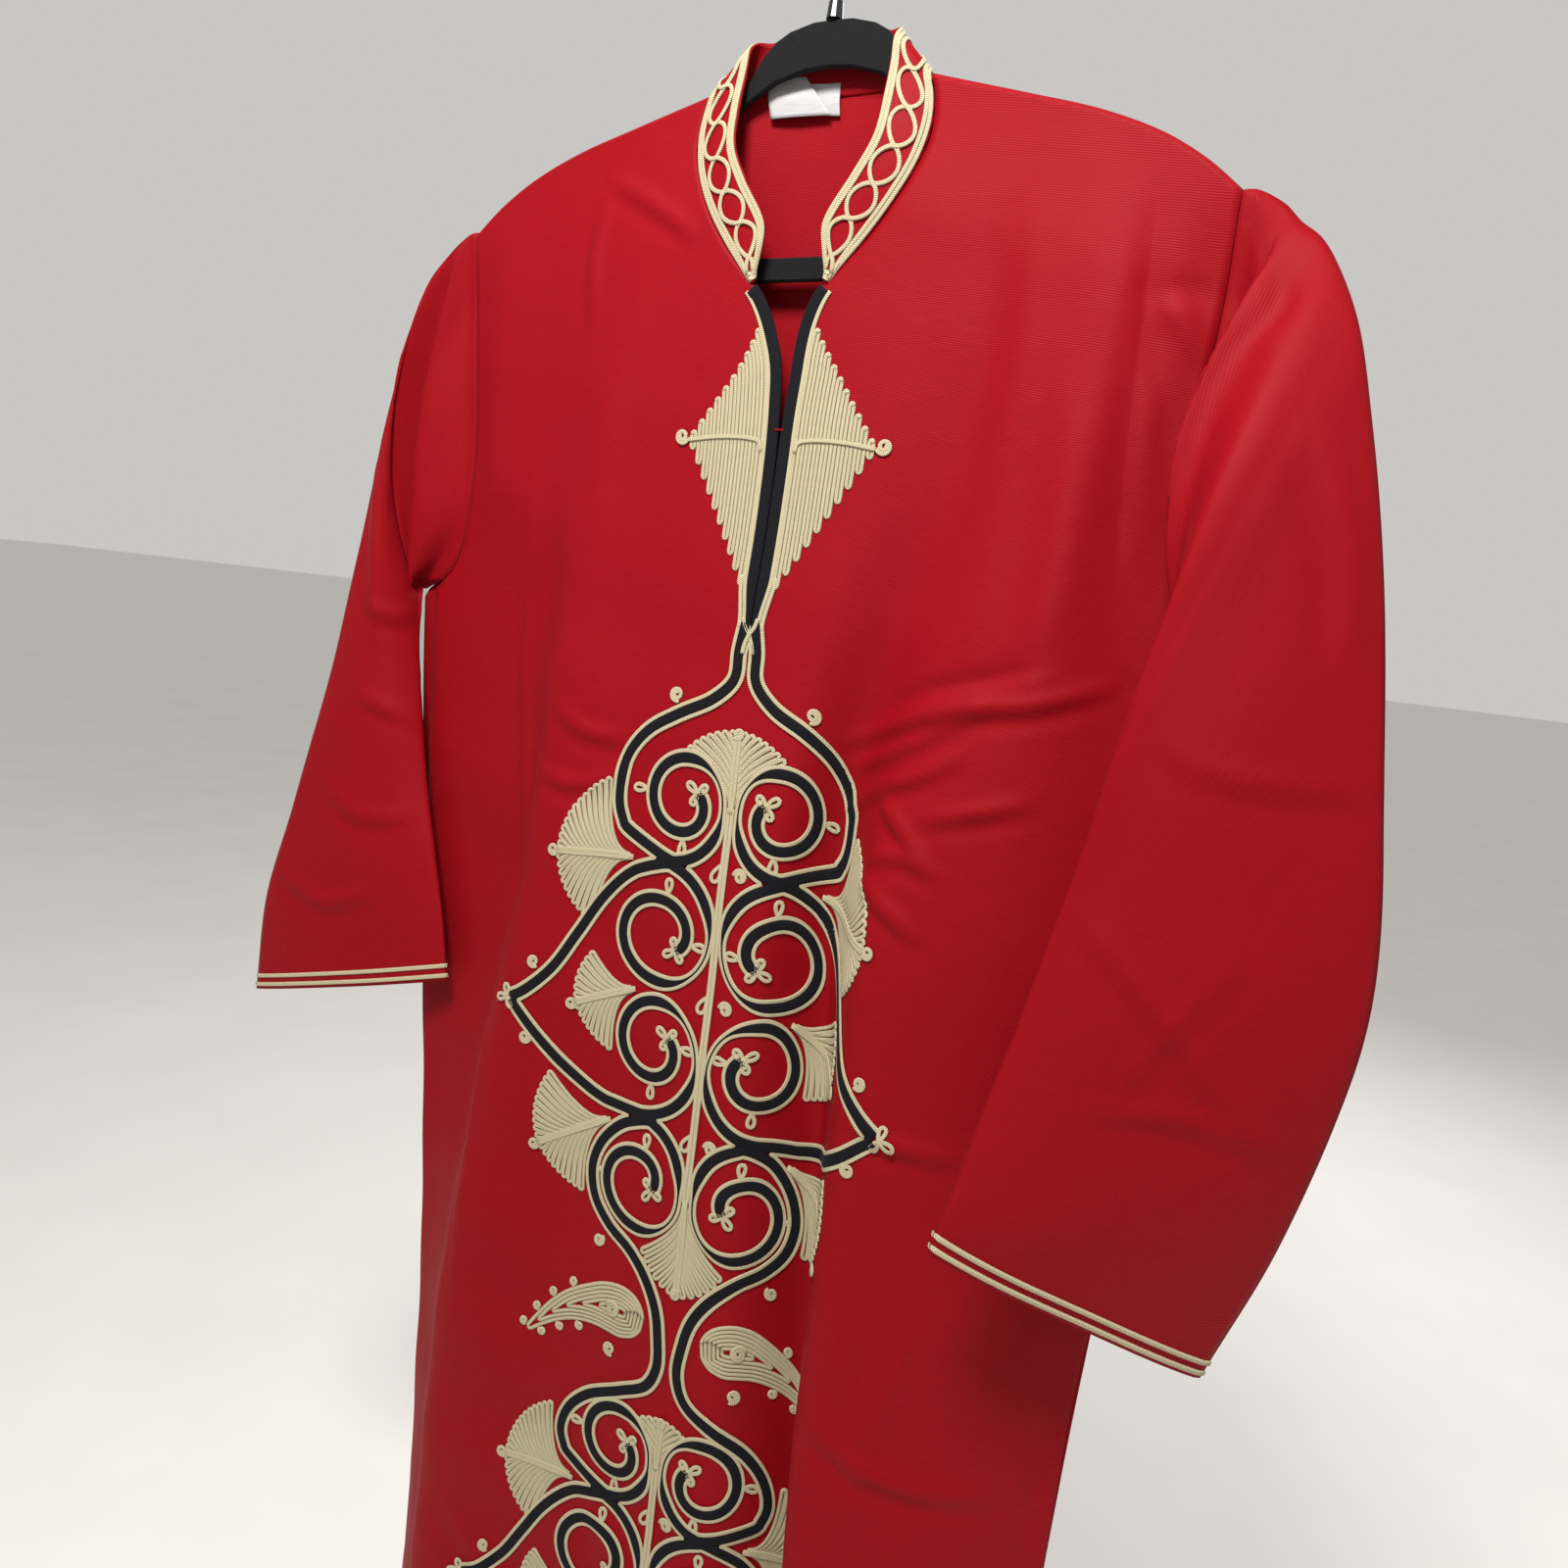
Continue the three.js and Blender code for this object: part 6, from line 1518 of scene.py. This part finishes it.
class GALABEYA_OT_labels(bpy.types.Operator):
    """Blank neck labels"""
    bl_idname = "galabeya.labels"
    bl_label = "Neck labels"

    def execute(self, context):
        build_labels(context.scene.galabeya)
        return {"FINISHED"}


class GALABEYA_OT_ornament(bpy.types.Operator):
    """Velvet scrolls, fans, stems, paisleys and half diamonds"""
    bl_idname = "galabeya.ornament"
    bl_label = "Ornament"

    def execute(self, context):
        props = context.scene.galabeya
        build_stems(props)
        for side in SIDES:
            build_scroll(props, side)
            build_fans(props, side)
            build_paisley(props, side)
            build_slit(props, side)
            build_diamond(props, side)
        return {"FINISHED"}


class GALABEYA_OT_hanger(bpy.types.Operator):
    """Flock on the hanger and metal on its hook"""
    bl_idname = "galabeya.hanger"
    bl_label = "Hanger"

    def execute(self, context):
        dress_hanger(context.scene.galabeya)
        return {"FINISHED"}


class GALABEYA_OT_stage(bpy.types.Operator):
    """Floor, lights and surrounding light"""
    bl_idname = "galabeya.stage"
    bl_label = "Stage"

    def execute(self, context):
        build_stage(context.scene.galabeya)
        return {"FINISHED"}


OPERATORS = (GALABEYA_OT_camera, GALABEYA_OT_body, GALABEYA_OT_sleeves, GALABEYA_OT_collar,
             GALABEYA_OT_labels, GALABEYA_OT_ornament, GALABEYA_OT_hanger, GALABEYA_OT_stage)


class GALABEYA_PT_panel(bpy.types.Panel):
    """Sidebar panel with the sizes and the building steps"""
    bl_idname = "GALABEYA_PT_panel"
    bl_label = "Galabeya"
    bl_space_type = "VIEW_3D"
    bl_region_type = "UI"
    bl_category = "Galabeya"

    def draw(self, context):
        props = context.scene.galabeya
        for name in GalabeyaProperties.__annotations__:
            self.layout.prop(props, name)
        for operator in OPERATORS:
            self.layout.operator(operator.bl_idname)


CLASSES = (GalabeyaProperties, *OPERATORS, GALABEYA_PT_panel)


def register():
    for cls in CLASSES:
        bpy.utils.register_class(cls)
    bpy.types.Scene.galabeya = bpy.props.PointerProperty(type=GalabeyaProperties)


def unregister():
    del bpy.types.Scene.galabeya
    for cls in reversed(CLASSES):
        bpy.utils.unregister_class(cls)


def main():
    register()
    bpy.ops.object.select_all(action="DESELECT")
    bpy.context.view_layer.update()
    for operator in OPERATORS:
        module, name = operator.bl_idname.split(".")
        if getattr(getattr(bpy.ops, module), name)() != {"FINISHED"}:
            raise RuntimeError(f"{operator.bl_idname} didn't finish")


if __name__ == "__main__":
    main()
